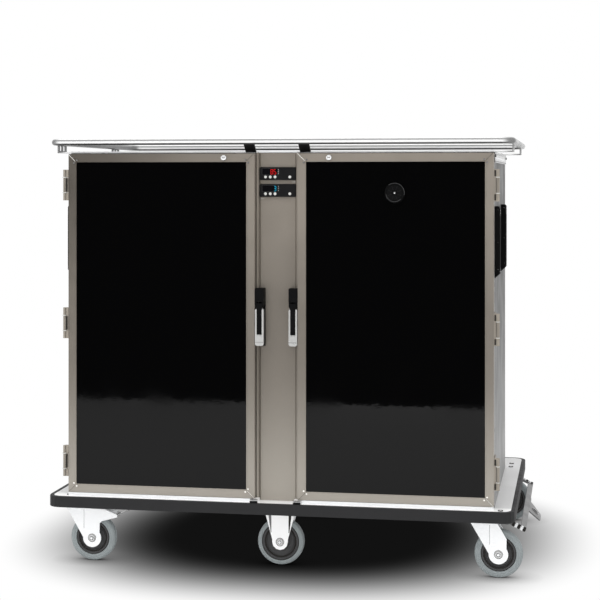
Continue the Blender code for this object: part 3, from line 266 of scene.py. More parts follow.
def make_champagne():
    """Warm grey anodised aluminium with painted light: paler towards the floor as a painted floor reflection
    and, high up, a painted highlight towards the tow bar.
    """
    painted_shade_tone, painted_highlight_tone, pale = (0.112, 0.098, 0.082), (0.305, 0.270, 0.230), (0.385, 0.355, 0.312)
    middle = (0.212, 0.188, 0.160)
    surface = Surface("champagne_aluminium", middle, 0.4, 0.5)
    # Painted light: high up the colour runs from painted shade at the left to a painted highlight towards the
    # tow bar.
    high = surface.mix(surface.remap(surface.height("X"), -0.80, -0.02), painted_shade_tone, painted_highlight_tone)
    body = surface.mix(surface.remap(surface.height(), 0.80, 1.30), middle, high)
    # Painted reflection: the colour turns paler towards the floor, standing in for the floor that the metal
    # mirrors.
    body = surface.mix(surface.remap(surface.height(), 0.22, 0.72), pale, body)
    body = surface.mix(surface.mask(surface.distance(), DOOR_OUTER + 0.05 * MM), body, LEAF_COLOUR)
    grain = surface.noise(1800.0, (1, 1, 0.05))
    surface.colour(surface.mix(surface.remap(grain, 0.0, 1.0, 0.0, 0.10), body, (0.46, 0.43, 0.39)))
    surface.rough(surface.noise(12.0), 0.34, 0.46)
    surface.bump(grain, 0.06, 0.15)
    return surface


def make_gloss_black():
    """High-gloss black sheet, not perfectly flat, so that what it mirrors has a wavy edge."""
    surface = Surface("gloss_black_panel", (0.0012, 0.0012, 0.0013), 0.035).gloss(0.22)
    surface.bump(surface.noise(34.0, detail=2.0), 0.055, 1.0)
    surface.bump(surface.noise(210.0, detail=2.0), 0.02, 0.3)
    surface.rough(surface.noise(6.0), 0.02, 0.07, 0.35, 0.75)
    return surface


def make_wall():
    """Satin grey walls, painted paler towards the floor as painted light, with hinge leaves and the rims by
    the column in the doors' champagne.
    """
    wall, painted_floor_light = (0.072, 0.071, 0.070), (0.28, 0.28, 0.28)
    surface = Surface("satin_grey_wall", wall, 0.5).gloss(0.04)
    grain = surface.noise(2200.0, (1, 1, 0.03))
    # Painted light: the walls are painted paler towards the floor.
    base = surface.mix(surface.remap(surface.height(), 0.25, 1.0), painted_floor_light, wall)
    base = surface.mix(surface.remap(grain, 0.2, 0.8, 0.0, 0.08), base, (0.5, 0.5, 0.5))
    size = surface.distance()
    base = surface.mix(surface.mask(size, DOOR_OUTER + 0.05 * MM), base, LEAF_COLOUR)
    rim = surface.mix(surface.mask(size, DOOR_INNER + 2 * MM), LEAF_COLOUR, base)
    surface.colour(surface.mix(surface.mask(surface.height("Y"), COLUMN_FRONT + 6 * MM), rim, base))
    surface.rough(surface.noise(7.0), 0.3, 0.42)
    surface.bump(grain, 0.06, 0.15)
    return surface


def make_chrome():
    """Polished steel with painted reflection bands, dark below, grey, then pale above, and painted shade on
    faces turned sideways and towards the rail's ends.
    """
    dark, grey, pale, painted_shade_tone = (0.02, 0.02, 0.02), (0.27, 0.27, 0.27), (0.90, 0.90, 0.90), (0.16, 0.16, 0.16)
    surface = Surface("polished_stainless", pale, 0.16, 0.1).gloss(0.12)
    normal = surface.node("ShaderNodeNewGeometry").outputs["Normal"]
    split = surface.node("ShaderNodeSeparateXYZ", Vector=normal)
    up, across = split.outputs["Z"], arithmetic(surface.tree, "ABSOLUTE", split.outputs["X"])
    # Painted reflection: the colour follows where each face turns, dark facing down, grey when level, pale
    # facing up.
    body = surface.mix(surface.remap(up, -0.62, -0.30), dark, pale)
    body = surface.mix(surface.remap(up, 0.05, 0.30), body, grey)
    body = surface.mix(surface.remap(up, 0.60, 0.85), body, pale)
    # Painted shade: faces turned sideways and the parts near the rail's ends are darker.
    body = surface.mix(surface.remap(across, 0.35, 0.8, 0.0, 0.9), body, painted_shade_tone)
    ends = surface.remap(surface.distance(), 0.755, 0.785, 0.0, 0.8)
    body = surface.mix(ends, body, (0.15, 0.15, 0.15))
    streak = surface.noise(14.0, (0.05, 1, 1), 2.0)
    surface.colour(surface.mix(surface.remap(streak, 0.3, 0.7, 0.0, 0.12), body, (0.6, 0.6, 0.6)))
    surface.rough(streak, 0.12, 0.22)
    return surface


def make_glow(name, colour, strength):
    """A lit segment or lamp behind a lens."""
    surface = moulded(name, colour, 0.3, 900.0, 0.1)
    surface.shader.inputs["Emission Color"].default_value = (*colour, 1.0)
    surface.shader.inputs["Emission Strength"].default_value = strength
    return surface


CHAMPAGNE = make_champagne().material
GLOSS_BLACK = make_gloss_black().material
WALL = make_wall().material
STAINLESS = brushed("brushed_stainless", (0.62, 0.62, 0.62), 0.3, "X").material
DECK_STEEL = make_deck_steel().material
POLISHED = make_chrome().material
ROOF_STEEL = brushed("roof_stainless", (0.56, 0.56, 0.56), 0.25, "X", 0.8, 0.04).material
ZINC = brushed("bright_zinc", (0.95, 0.96, 0.97), 0.36, "Z", 0.35, 0.02).material
TOW_ZINC = brushed("tow_zinc", (0.17, 0.17, 0.17), 0.4, "Y", 0.3, 0.06).material
SILVER = brushed("satin_silver", (0.56, 0.56, 0.55), 0.3, "Z", 0.4, 0.04).material
BOLT_STEEL = brushed("bolt_steel", (0.30, 0.30, 0.30), 0.25, "Z", 0.9, 0.05).material
BLACK_PLASTIC = moulded("black_plastic", (0.0065, 0.0065, 0.007), 0.45).material
DEEP_BLACK = moulded("deep_black", (0.0045, 0.0045, 0.0047), 0.5, grain=0.15).gloss(0.05).material
HUB_PLASTIC = moulded("hub_plastic", (0.058, 0.058, 0.059), 0.45).material
WHITE_PLASTIC = moulded("button_plastic", (0.58, 0.58, 0.56), 0.35, grain=0.08).material
RUBBER = moulded("dark_rubber", (0.022, 0.022, 0.023), 0.6, 900.0, 0.3).material
TYRE_GREY = moulded("grey_tyre", (0.245, 0.27, 0.275), 0.55, 1100.0, 0.25).material
LENS = moulded("display_lens", (0.004, 0.004, 0.005), 0.08, grain=0.02).material
LINE_DARK = moulded("joint_line", (0.02, 0.018, 0.016), 0.7, grain=0.05).material
# A pale finish used only for painted highlights on the doors' mitres and lower rivets.
PAINTED_HIGHLIGHT = moulded("painted_highlight_line", (0.92, 0.90, 0.86), 0.5, grain=0.05).material
RED_GLOW = make_glow("red_segments", (0.9, 0.012, 0.012), 0.8).material
CYAN_GLOW = make_glow("cyan_segments", (0.02, 0.42, 0.62), 0.9).material
LAMP_GLOW = make_glow("lamp", (0.45, 0.45, 0.45), 0.8).material


def add_object(name, data):
    """A new object in the scene."""
    obj = bpy.data.objects.new(name, data)
    SCENE.collection.objects.link(obj)
    return obj


def add_loop(curve, points, level=0.0):
    """Adds a closed line through the points, at one level, to a curve."""
    spline = curve.splines.new("POLY")
    spline.points.add(len(points) - 1)
    for point, (x, y) in zip(spline.points, points):
        point.co = (x, y, level, 1)
    spline.use_cyclic_u = True


def piece(name, bm, material, body="root", bevel=0.0):
    """Makes a bmesh a shown piece of the given material that rides on a body."""
    bmesh.ops.remove_doubles(bm, verts=bm.verts, dist=MM / 1000)
    bmesh.ops.recalc_face_normals(bm, faces=bm.faces)
    mesh = bpy.data.meshes.new(name)
    bm.to_mesh(mesh)
    bm.free()
    mesh.materials.append(material)
    mesh.shade_smooth()
    mesh.set_sharp_from_angle(angle=radians(SHARP_ANGLE))
    obj = add_object(name, mesh)
    if bevel:
        round_edges(obj, bevel)
    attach(obj, body)
    return obj


def round_edges(obj, width, angle=30):
    """Rounds the sharp edges with a Bevel modifier, its width in millimetres."""
    modifier = obj.modifiers.new("round_edges", "BEVEL")
    modifier.width = width * MM
    modifier.segments = 2
    modifier.limit_method = "ANGLE"
    modifier.angle_limit = radians(angle)
    modifier.use_clamp_overlap = True


def lathe(name, profile, centre, material, body="root", axis=(0, 1, 0), segments=64):
    """A turned piece: profile points are (radius, distance along the axis) in millimetres."""
    axis, centre = Vector(axis), Vector(centre)
    side = axis.orthogonal().normalized()
    bm = bmesh.new()
    verts = [bm.verts.new(centre + side * radius * MM + axis * along * MM) for radius, along in profile]
    pairs = list(zip(verts, verts[1:]))
    if profile[0][0] > 0 and profile[-1][0] > 0:
        pairs.append((verts[-1], verts[0]))
    edges = [bm.edges.new(pair) for pair in pairs]
    turn = {"cent": centre, "axis": axis, "angle": 2 * pi, "steps": segments, "use_merge": True}
    bmesh.ops.spin(bm, geom=verts + edges, **turn)
    return piece(name, bm, material, body)


def outline_mesh(outlines, low, high, plane):
    """A bmesh of a flat outline, with any holes as further outlines, between two levels."""
    curve = bpy.data.curves.new("outline", "CURVE")
    curve.dimensions = "2D"
    curve.fill_mode = "BOTH"
    curve.extrude = (high - low) / 2
    for outline in outlines:
        add_loop(curve, outline)
    obj = add_object("outline", curve)
    bpy.context.view_layer.update()
    mesh = bpy.data.meshes.new_from_object(obj.evaluated_get(bpy.context.evaluated_depsgraph_get()))
    bpy.data.objects.remove(obj)
    middle = (low + high) / 2
    frames = {
        "XY": ((1, 0, 0, 0), (0, 1, 0, 0), (0, 0, 1, middle), (0, 0, 0, 1)),
        "XZ": ((1, 0, 0, 0), (0, 0, 1, middle), (0, 1, 0, 0), (0, 0, 0, 1)),
        "YZ": ((0, 0, 1, middle), (1, 0, 0, 0), (0, 1, 0, 0), (0, 0, 0, 1)),
    }
    mesh.transform(Matrix(frames[plane]))
    bm = bmesh.new()
    bm.from_mesh(mesh)
    bmesh.ops.remove_doubles(bm, verts=bm.verts, dist=MM / 1000)
    bmesh.ops.dissolve_limit(bm, angle_limit=radians(0.5), verts=bm.verts, edges=bm.edges)
    return bm


def slab(name, outlines, start, end, plane, material, body="root", bevel=0.0, place=None):
    """A flat piece cut from sheet between two levels, its bevel in millimetres, moved by any matrix."""
    bm = outline_mesh(outlines, min(start, end), max(start, end), plane)
    if place:
        bm.transform(place)
    return piece(name, bm, material, body, bevel)


def arc(centre, radius, start, end, steps):
    """Points along an arc, with its angles in radians."""
    turns = [start + (end - start) * i / steps for i in range(steps + 1)]
    return [(centre[0] + radius * cos(turn), centre[1] + radius * sin(turn)) for turn in turns]


def circle(centre, radius, steps, turn=0.0):
    """The outline of a circle, or of a nut where the steps are few."""
    return arc(centre, radius, turn, 2 * pi + turn, steps)[:-1]


def rounded(left, bottom, right, top, radius, steps=6):
    """The outline of a rectangle with round corners."""
    inner = rectangle(left + radius, bottom + radius, right - radius, top - radius)
    quarter = pi / 2
    turned = [arc(inner[i - 2], radius, i * quarter, (i + 1) * quarter, steps) for i in range(4)]
    return [point for points in turned for point in points]


def rectangle(start, bottom, end, top):
    """The outline of a plain rectangle, its two sides in either order."""
    left, right = min(start, end), max(start, end)
    return [(left, bottom), (right, bottom), (right, top), (left, top)]


def stroke(start, end, width):
    """The outline of a thin straight line between two points."""
    start, end = Vector(start), Vector(end)
    across = (end - start).orthogonal().normalized() * width / 2
    return [tuple(start - across), tuple(end - across), tuple(end + across), tuple(start + across)]


def dome(name, centre, radius, height, axis, material, body="root"):
    """A domed head, such as a rivet's or a screw's, on a face; its size is in millimetres."""
    profile = [(radius * cos(a), height * sin(a)) for a in (pi / 2 * i / 5 for i in range(5, -1, -1))]
    profile[0] = (0, height)
    profile += [(radius, -height * 0.3), (0, -height * 0.3)]
    lathe(name, profile, centre, material, body, axis, 20)


def set_materials():
    """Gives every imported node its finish, and rounds the edges of the sheet and moulded ones."""
    starts = {
        "deck": (DECK_STEEL, 0.0), "bumper": (RUBBER, 2.2), "centre_column": (CHAMPAGNE, 0.8),
        "roof_cap": (ROOF_STEEL, 0.8), "top_rail": (POLISHED, 0.0), "cooling_unit": (WALL, 1.0),
        "tow_bar": (TOW_ZINC, 0.5), "cabinet": (WALL, 0.0), "rack": (STAINLESS, 0.0),
        "cam_lock": (POLISHED, 0.0), "latch_body": (DEEP_BLACK, 1.0), "latch_lever": (SILVER, 0.5),
        "grip": (BLACK_PLASTIC, 1.5), "swivel_fork": (ZINC, 0.5), "hub": (HUB_PLASTIC, 0.0),
        "tyre": (TYRE_GREY, 0.0), "brake_pedal": (BOLT_STEEL, 0.5), "vent_disc": (BLACK_PLASTIC, 0.0),
        "controller": (BLACK_PLASTIC, 0.8), "button": (WHITE_PLASTIC, 0.0),
    }
    ends = {
        "_frame": (CHAMPAGNE, 0.6), "_panel": (GLOSS_BLACK, 0.0), "_core": (STAINLESS, 0.0),
        "_gasket": (RUBBER, 0.0),
    }
    for name, obj in NODES.items():
        found = [value for start, value in starts.items() if name.startswith(start)]
        found += [value for end, value in ends.items() if name.endswith(end)]
        material, width = found[0]
        obj.data.materials.clear()
        obj.data.materials.append(material)
        if width:
            round_edges(obj, width, 35)


def fitted(radius, seam):
    """A drawn wheel radius, moved so that hub and tyre meet at this wheel's seam."""
    rim = WHEEL_RADIUS / MM
    if radius <= HUB_BOSS:
        return radius
    if radius < DRAWN_SEAM:
        return HUB_BOSS + (radius - HUB_BOSS) * (seam - HUB_BOSS) / (DRAWN_SEAM - HUB_BOSS)
    return rim - (rim - radius) * (rim - seam) / (rim - DRAWN_SEAM)


def make_wheels():
    """The six wheels: grey tyres with a stepped side wall on dark hubs with concentric rings."""
    for name in [node for node in NODES if node.startswith("tyre_")]:
        place = name[len("tyre_"):]
        body = f"wheel_{place}"
        low, high = corners(name)
        centre = (low + high) / 2
        centre.z = WHEEL_RADIUS
        seam = DRAWN_SEAM if "middle" in place else CASTER_SEAM
        for kind, drawn, material in (("tyre", TYRE_HALF, TYRE_GREY), ("hub", HUB_HALF, HUB_PLASTIC)):
            half = [(fitted(radius, seam), along) for radius, along in drawn]
            profile = half + [(radius, -along) for radius, along in reversed(half) if along > 0]
            made = lathe(f"wheel_{kind}_{place}", profile, centre, material, body, segments=96)
            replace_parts(made, f"{kind}_{place}")
        for word, side in ENDS:
            for label, inner, outer, depth in (("inner", 50.3, 54.5, 12.2), ("outer", 62.5, 64.3, 15.1)):
                ring = rectangle(fitted(inner, seam), depth, fitted(outer, seam), depth + 0.4)
                lathe(f"wheel_groove_{label}_{place}_{word}", ring, centre, LINE_DARK, body, (0, side, 0), 96)
            make_axle(place, word, side, centre)


def make_axle(place, word, side, centre):
    """The bolted end of a wheel's axle, with painted shadow rings round its washer and seat, and a swivel
    fork's round lobe and a painted shade line along its fold behind it.
    """
    fixed = "middle" in place
    body = "root" if fixed else f"caster_{place}"
    name = f"{place}_{word}"
    leg = centre + Vector((0, side * FORK_FACE, 0))
    head = leg + Vector((0, side * 4 * MM, 0))
    turned = [
        # The two dark rings are painted shadow round the washer's edge and the nut's seat.
        ("axle_rim_shadow", rectangle(13.2, 0.1, 14.4, 0.5), leg, LINE_DARK, 40),
        ("axle_seat_shadow", rectangle(8.2, 0.1, 10.6, 2.6), leg, LINE_DARK, 40),
        ("axle_washer", [(13.0, 0.1), (13.0, 1.6), (12.4, 2.2), (10.5, 2.2), (10.5, 0.1)], leg, SILVER, 40),
        ("axle_stud", [(0, 5.2), (3.4, 5.2), (4.2, 4.4), (4.2, 3.3), (0, 3.3)], head, ZINC, 24),
    ]
    if not fixed:
        lobe = [(0, -4.1), (31.6, -4.1), (32.2, -3.6), (32.2, -0.2), (31.6, 0.25), (0, 0.25)]
        turned.append(("fork_lobe", lobe, leg, ZINC, 72))
        # A dark stroke painted where the fork's fold falls in shade.
        x = centre.x - 29 * MM
        fold = stroke((x, 112 * MM), (x, 183 * MM), 1.2 * MM)
        slab(f"fork_fold_shade_{name}", [fold], leg.y - 0.1 * MM, leg.y + 0.1 * MM, "XZ", TOW_ZINC, body)
    for label, profile, spot, material, segments in turned:
        lathe(f"{label}_{name}", profile, spot, material, body, (0, side, 0), segments)
    nut, near, far = circle((head.x, head.z), 8 * MM, 6, 0.3), 0.1 * MM, 3.4 * MM
    slab(f"axle_nut_{name}", [nut], head.y + side * near, head.y + side * far, "XZ", BOLT_STEEL, body, 0.5)


def make_fixed_forks():
    """Painted shade on the bent gussets of the two fixed middle forks: a dark strip on the right and a grey
    one on the left.
    """
    corner_points = ((30.0, 192), (42.5, 192), (32.4, 112), (30.0, 112))
    for place in ("front", "rear"):
        low, high = corners(f"tyre_middle_{place}")
        for word, end in ENDS:
            face = (low.y + high.y) / 2 + end * FORK_FACE
            depth = (face - end * 0.4 * MM, face + end * 0.12 * MM)
            # Painted shade: dark on the right gusset, grey on the left.
            for label, side, material in (("right", 1, LINE_DARK), ("left", -1, TOW_ZINC)):
                outline = [(CART_X + side * across * MM, up * MM) for across, up in corner_points]
                slab(f"gusset_{label}_{place}_{word}", [outline], *depth, "XZ", material)


def make_tow_bar():
    """The zinc tow bar: arms with eyes, cross strip, broad tongue and dark end hardware."""
    half = corners("tow_bar")[1].y
    pivot = Matrix.Translation((CART_X + TOW_PIVOT[0], 0, TOW_PIVOT[1]))
    bar = pivot @ Matrix.Rotation(radians(TOW_SLOPE), 4, "Y")
    sheet, arm, width = 2.5 * MM, 58 * MM, 20 * MM
    root = arm + width / 2
    drop = bar @ Matrix.Translation((root - sheet, 0, 0)) @ Matrix.Rotation(radians(TONGUE_DROP), 4, "Y")

    def add(name, outlines, start, end, plane, material=TOW_ZINC, bevel=0.8, place=bar, body="tow_bar"):
        """One sheet or nut of the bar."""
        return slab(f"tow_{name}", outlines, start, end, plane, material, body, bevel, place)

    strip = rectangle(arm - width / 2, -half, root, half)
    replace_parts(add("strip", [strip], -sheet, sheet, "XY"), "tow_bar")
    edge = [(x * MM, y * MM) for x, y in ((-2, 84), (14, 76), (57, 46), (58.5, 40))]
    tongue = [(x, -y) for x, y in edge] + edge[::-1]
    eye, hole = (29 * MM, 0), 12 * MM
    add("tongue", [tongue, circle(eye, hole, 32)], -sheet, sheet, "XY", place=drop)
    collar = [circle(eye, radius, 32) for radius in (16 * MM, hole)]
    add("collar", collar, -5 * MM, 5 * MM, "XY", BOLT_STEEL, place=drop)
    for word, side in ENDS:
        end = side * half
        arm_outline = arc((0, 0), 9 * MM, radians(33), radians(327), 24) + [(arm, -sheet), (arm, sheet)]
        bore = circle((0, 0), 4.3 * MM, 20)
        add(f"arm_{word}", [arm_outline, bore], end, end - side * width, "XZ", bevel=0.5)
        for index, along in enumerate((22 * MM, 32 * MM, 42 * MM, 52 * MM, 62 * MM)):
            label = f"{word}_{index + 1}"
            material = LINE_DARK if index % 2 == 0 else ZINC
            nut = circle((along, end - side * 6 * MM), 4.6 * MM, 6, 0.2)
            add(f"nut_{label}", [nut], sheet - 0.2 * MM, sheet + 6 * MM, "XY", material, 0.6)
            span = sorted((end - side * 0.5 * MM, end + side * 0.25 * MM))
            plate = rectangle(along - 4 * MM, span[0], along + 4 * MM, span[1])
            add(f"edge_{label}", [plate], -sheet - 3 * MM, sheet + 3 * MM, "XY", material, 0.0)
        for label, start, stop, outline, material in (
            ("washer", 0.3, 2.0, circle((0, 0), 10.5 * MM, 24), TOW_ZINC),
            ("bolt", 2.0, 8.0, circle((0, 0), 8.5 * MM, 6, 0.2), BOLT_STEEL),
            ("stud", 8.0, 12.0, circle((0, 0), 4 * MM, 16), TOW_ZINC),
            ("clip", 0.4, 4.0, rectangle(-12 * MM, 3 * MM, 12 * MM, 15 * MM), LINE_DARK),
        ):
            depth = (end + side * start * MM, end + side * stop * MM)
            add(f"{label}_{word}", [outline], *depth, "XZ", material, 0.5, pivot, "root")


def make_rail():
    """The polished rail round the roof, with its slotted brackets and sloping front straps."""
    low, high = corners("top_rail")
    axis_z = high.z - RAIL_RADIUS
    half_x, half_y = ((high[i] - low[i]) / 2 - RAIL_RADIUS for i in (0, 1))
    foot = low.z
    sheet = 4 * MM
    curve = bpy.data.curves.new("rail_tube", "CURVE")
    curve.dimensions = "3D"
    curve.bevel_depth = RAIL_RADIUS
    curve.bevel_resolution = 8
    add_loop(curve, rounded(CART_X - half_x, -half_y, CART_X + half_x, half_y, 48 * MM, 14), axis_z)
    curve.materials.append(POLISHED)
    rail = add_object("rail_tube", curve)
    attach(rail, "root")
    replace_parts(rail, "top_rail")
    slot_half, sill, lintel = 10 * MM, foot + 2 * sheet, axis_z - RAIL_RADIUS - 1 * MM
    for word, side in SIDES:
        centre = CART_X + side * half_x
        inboard = CART_X + side * (DOOR_OUTER - 22 * MM)
        for label, middle in (("front", 115 * MM), ("rear", 760 * MM)):
            y = DOOR_FRONT + middle
            start, end = y - 45 * MM, y + 45 * MM
            plate = [rectangle(start, foot, end, axis_z - RAIL_RADIUS * 0.6)]
            for slot in (y - 18 * MM, y + 18 * MM):
                plate.append(rounded(slot - slot_half, sill, slot + slot_half, lintel, 2 * MM, 3))
            name = f"rail_bracket_{word}_{label}"
            slab(name, plate, centre - sheet / 2, centre + sheet / 2, "YZ", POLISHED, bevel=0.4)
            flange = rectangle(inboard, start, centre - side * sheet * 0.6, end)
            slab(f"rail_foot_{word}_{label}", [flange], foot, foot + sheet, "XY", POLISHED, bevel=0.4)
            for letter, shift in (("a", -28 * MM), ("b", 28 * MM)):
                spot = (inboard + side * 11 * MM, y + shift, foot + sheet)
                dome(f"bracket_bolt_{word}_{label}_{letter}", spot, 5, 3, (0, 0, 1), SILVER)
        inner = COLUMN_FRONT + 22 * MM
        band = [
            (-half_y, axis_z - sheet), (COLUMN_FRONT, foot), (inner, foot), (inner, foot + sheet),
            (COLUMN_FRONT + sheet, foot + sheet), (-half_y, axis_z + sheet),
        ]
        middle, half = CART_X + side * 94 * MM, 18.5 * MM
        slab(f"rail_strap_{word}", [band], middle - half, middle + half, "YZ", BLACK_PLASTIC, bevel=0.5)


def make_front_strips():
    """Sheet edges that show between the big pieces: roof lip, cabinet sills and column folds."""
    reach, roof_top = DOOR_OUTER + 3 * MM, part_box("roof_cap")[1][2]
    lip = rectangle(CART_X - reach, COLUMN_FRONT + 0.2 * MM, CART_X + reach, COLUMN_FRONT + 2.2 * MM)
    slab("roof_lip", [lip], roof_top - 1 * MM, roof_top + 5 * MM, "XY", ZINC, bevel=0.4)
    for word, side in SIDES:
        inner, outer = CART_X + side * 88.5 * MM, CART_X + side * (DOOR_OUTER - 1 * MM)
        sill = rectangle(inner, DOOR_FRONT + 1.5 * MM, outer, DOOR_FRONT + 40 * MM)
        slab(f"sill_{word}", [sill], DECK_TOP, FRAME_LOW.z - 1.2 * MM, "XY", ZINC, bevel=0.8)
        inner, outer = CART_X + side * 65.2 * MM, CART_X + side * 72.4 * MM
        fold = rectangle(inner, COLUMN_FRONT - 13.1 * MM, outer, COLUMN_FRONT - 0.5 * MM)
        depth = (DECK_TOP + 0.5 * MM, roof_top - 1 * MM)
        slab(f"column_fold_{word}", [fold], *depth, "XY", CHAMPAGNE, bevel=0.6)


def make_door_details(word, side):
    """Mitre lines and rivets on a door's frame; the light catches only the mitres that fall to the right, so
    these get a painted highlight line, and the rivets are painted pale low down and dark high up.
    """
    body = f"door_{word}"
    left, right = sorted((CART_X + side * DOOR_INNER, CART_X + side * DOOR_OUTER))
    reach = FRAME_FACE - 3.4 * MM
    front, depth = DOOR_FRONT, 0.2 * MM
    for corner_x, inward_x in ((left, 1), (right, -1)):
        for corner_z, inward_z in ((FRAME_LOW.z, 1), (FRAME_HIGH.z, -1)):
            where = f"{word}_{'a' if inward_x > 0 else 'b'}{'low' if inward_z > 0 else 'high'}"

            def inside(across, up):
                """A point inwards from the corner."""
                return corner_x + inward_x * across, corner_z + inward_z * up

            if inward_x != inward_z:
                # A painted highlight line on the mitres that fall to the right.
                line = stroke(inside(0.6 * MM, 0.6 * MM), inside(reach, reach), 1.3 * MM)
                slab(f"mitre_{where}", [line], front - 0.08 * MM, front + depth, "XZ", PAINTED_HIGHLIGHT, body)
            line = stroke(inside(2.2 * MM, 0.6 * MM), inside(reach + 1.2 * MM, reach - 0.4 * MM), 0.8 * MM)
            slab(f"mitre_shade_{where}", [line], front - 0.06 * MM, front + depth, "XZ", LINE_DARK, body)
            outward, inward = FRAME_FACE - 7.0 * MM, FRAME_FACE + 2.6 * MM
            # Painted light: the lower rivets are painted pale as a highlight and the upper ones dark as
            # shade.
            finish = PAINTED_HIGHLIGHT if inward_z > 0 else BOLT_STEEL
            for label, (x, z) in (("m", inside(outward, inward)), ("n", inside(inward, outward))):
                dome(f"rivet_{where}_{label}", (x, front, z), 3.0, 1.8, (0, -1, 0), finish, body)


def make_hinge_details(word, side):
    """The dark slots, fold lines and pale washers of one door's three hinges."""
    middle = (FRAME_LOW.z + FRAME_HIGH.z) / 2
    quarter = HINGE_HEIGHT / 4
    slot_x = (CART_X + side * 732.3 * MM, CART_X + side * 737.8 * MM)
    line_x = (CART_X + side * 737.8 * MM, CART_X + side * 739.0 * MM)
    sections = (("low", -2, -1), ("middle", -1, 1), ("high", 1, 2))
    for index, z in enumerate((middle - HINGE_PITCH, middle, middle + HINGE_PITCH)):
        for label, start, stop in sections:
            bottom, top = z + start * quarter, z + stop * quarter
            name = f"{word}_{index + 1}_{label}"
            carrier = f"door_{word}" if label == "middle" else "root"
            if (label == "middle") == (side < 0):
                slot = rounded(min(slot_x), bottom + 3 * MM, max(slot_x), top - 3 * MM, 2 * MM, 3)
                depth = (DOOR_FRONT - 0.9 * MM, DOOR_FRONT - 0.45 * MM)
                slab(f"hinge_slot_{name}", [slot], *depth, "XZ", LINE_DARK, carrier)
            else:
                bottom += (1 if label == "low" else 2) * MM
                top -= (1 if label == "high" else 2) * MM
                line = rectangle(line_x[0], bottom, line_x[1], top)
                depth = (DOOR_FRONT - 0.9 * MM, DOOR_FRONT - 0.4 * MM)
                slab(f"hinge_line_{name}", [line], *depth, "XZ", LINE_DARK, carrier)
        for label, end in (("low", -1), ("high", 1)):
            centre = (CART_X + side * HINGE_OFFSET, DOOR_FRONT + 2 * MM, z + end * quarter)
            ring = rectangle(KNUCKLE_RADIUS / MM + 0.1, -1.2, KNUCKLE_RADIUS / MM + 0.9, 1.2)
            name = f"hinge_washer_{word}_{index + 1}_{label}"
            lathe(name, ring, centre, WHITE_PLASTIC, "root", (0, 0, 1), 32)


def make_locks():
    """The chrome quarter-turn locks in the doors' top rails."""
    for word in ("left", "right"):
        body = f"cam_lock_{word}"
        low, high = corners(body)
        centre = (low + high) / 2
        profile = [(0, 4.4), (5.2, 4.4), (5.8, 5.6), (8.2, 5.8), (9.2, 5.2), (9.5, 4.2), (9.5, 0.0), (0, 0.0)]
        lock = lathe(f"lock_{word}", profile, (centre.x, high.y, centre.z), POLISHED, body, (0, -1, 0), 48)
        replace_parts(lock, body)
        slot = rectangle(centre.x - 4.2 * MM, centre.z - 1.1 * MM, centre.x + 4.2 * MM, centre.z + 1.1 * MM)
        slab(f"lock_slot_{word}", [slot], high.y - 4.6 * MM, high.y - 4.2 * MM, "XZ", LINE_DARK, body)


def make_vent():
    """The rotary vent in the right door: ring, ribbed disc and bright screw."""
    low, high = corners("vent_disc")
    x, z = (low.x + high.x) / 2, (low.z + high.z) / 2
    face, base = PANEL_LOW.y + 5 * MM, high.y
    ring = [
        (28.9, 4.0), (29.4, 5.2), (30.6, 5.6), (32.4, 5.4), (33.8, 4.0), (34.6, 1.8), (35.5, 0.4),
        (35.5, 0.02), (28.9, 0.02),
    ]
    lathe("vent_ring", ring, (x, face, z), DEEP_BLACK, "door_right", (0, -1, 0), 96)
    for label, radius, start, end in (("outer", 33.4 * MM, -0.2, 2.2), ("inner", 29.3 * MM, 3.3, 5.5)):
        glint = arc((x, z), radius, start, end, 40) + arc((x, z), radius - 1.2 * MM, end, start, 40)
        depth = (face - 5.8 * MM, face - 4.0 * MM)
        slab(f"vent_glint_{label}", [glint], *depth, "XZ", HUB_PLASTIC, "door_right")
    disc = [
        (0.0, 4.0), (7.0, 4.0), (7.8, 3.2), (9.0, 3.2), (9.6, 4.0), (24.6, 4.0), (25.2, 3.4), (26.4, 3.4),
        (27.0, 4.2), (28.5, 4.2), (28.6, 3.6), (28.6, 0.4), (0.0, 0.4),
    ]
    dial = lathe("vent_dial", disc, (x, base, z), DEEP_BLACK, "vent_disc", (0, -1, 0), 96)
    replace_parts(dial, "vent_disc")
    depth = (base - 4.9 * MM, base - 3.9 * MM)
    for index in range(8):
        turn = 2 * pi * index / 8 + pi / 8
        start, end = ((x + far * cos(turn), z + far * sin(turn)) for far in (10 * MM, 24 * MM))
        rib = stroke(start, end, 1.6 * MM)
        slab(f"vent_rib_{index + 1}", [rib], *depth, "XZ", BLACK_PLASTIC, "vent_disc", 0.3)
    screw_height = (high.y - low.y) / MM - 4.0
    dome("vent_screw", (x, base - 4.0 * MM, z), 3.1, screw_height, (0, -1, 0), POLISHED, "vent_disc")


def digit(name, figure, left, bottom, width, height, face, glow):
    """A seven-segment figure, lit behind the lens."""
    bar = width * 0.11
    mid = bottom + height / 2
    right, top = left + width, bottom + height
    lines = {key: ((left + bar, z), (right - bar, z)) for key, z in (("a", top), ("g", mid), ("d", bottom))}
    for upper, lower, x in (("b", "c", right), ("f", "e", left)):
        lines[upper] = ((x, mid + bar), (x, top - bar))
        lines[lower] = ((x, bottom + bar), (x, mid - bar))
    for key in SEGMENTS_ON[figure]:
        slab(f"{name}_{key}", [stroke(*lines[key], bar)], face - 0.3 * MM, face - 0.1 * MM, "XZ", glow)


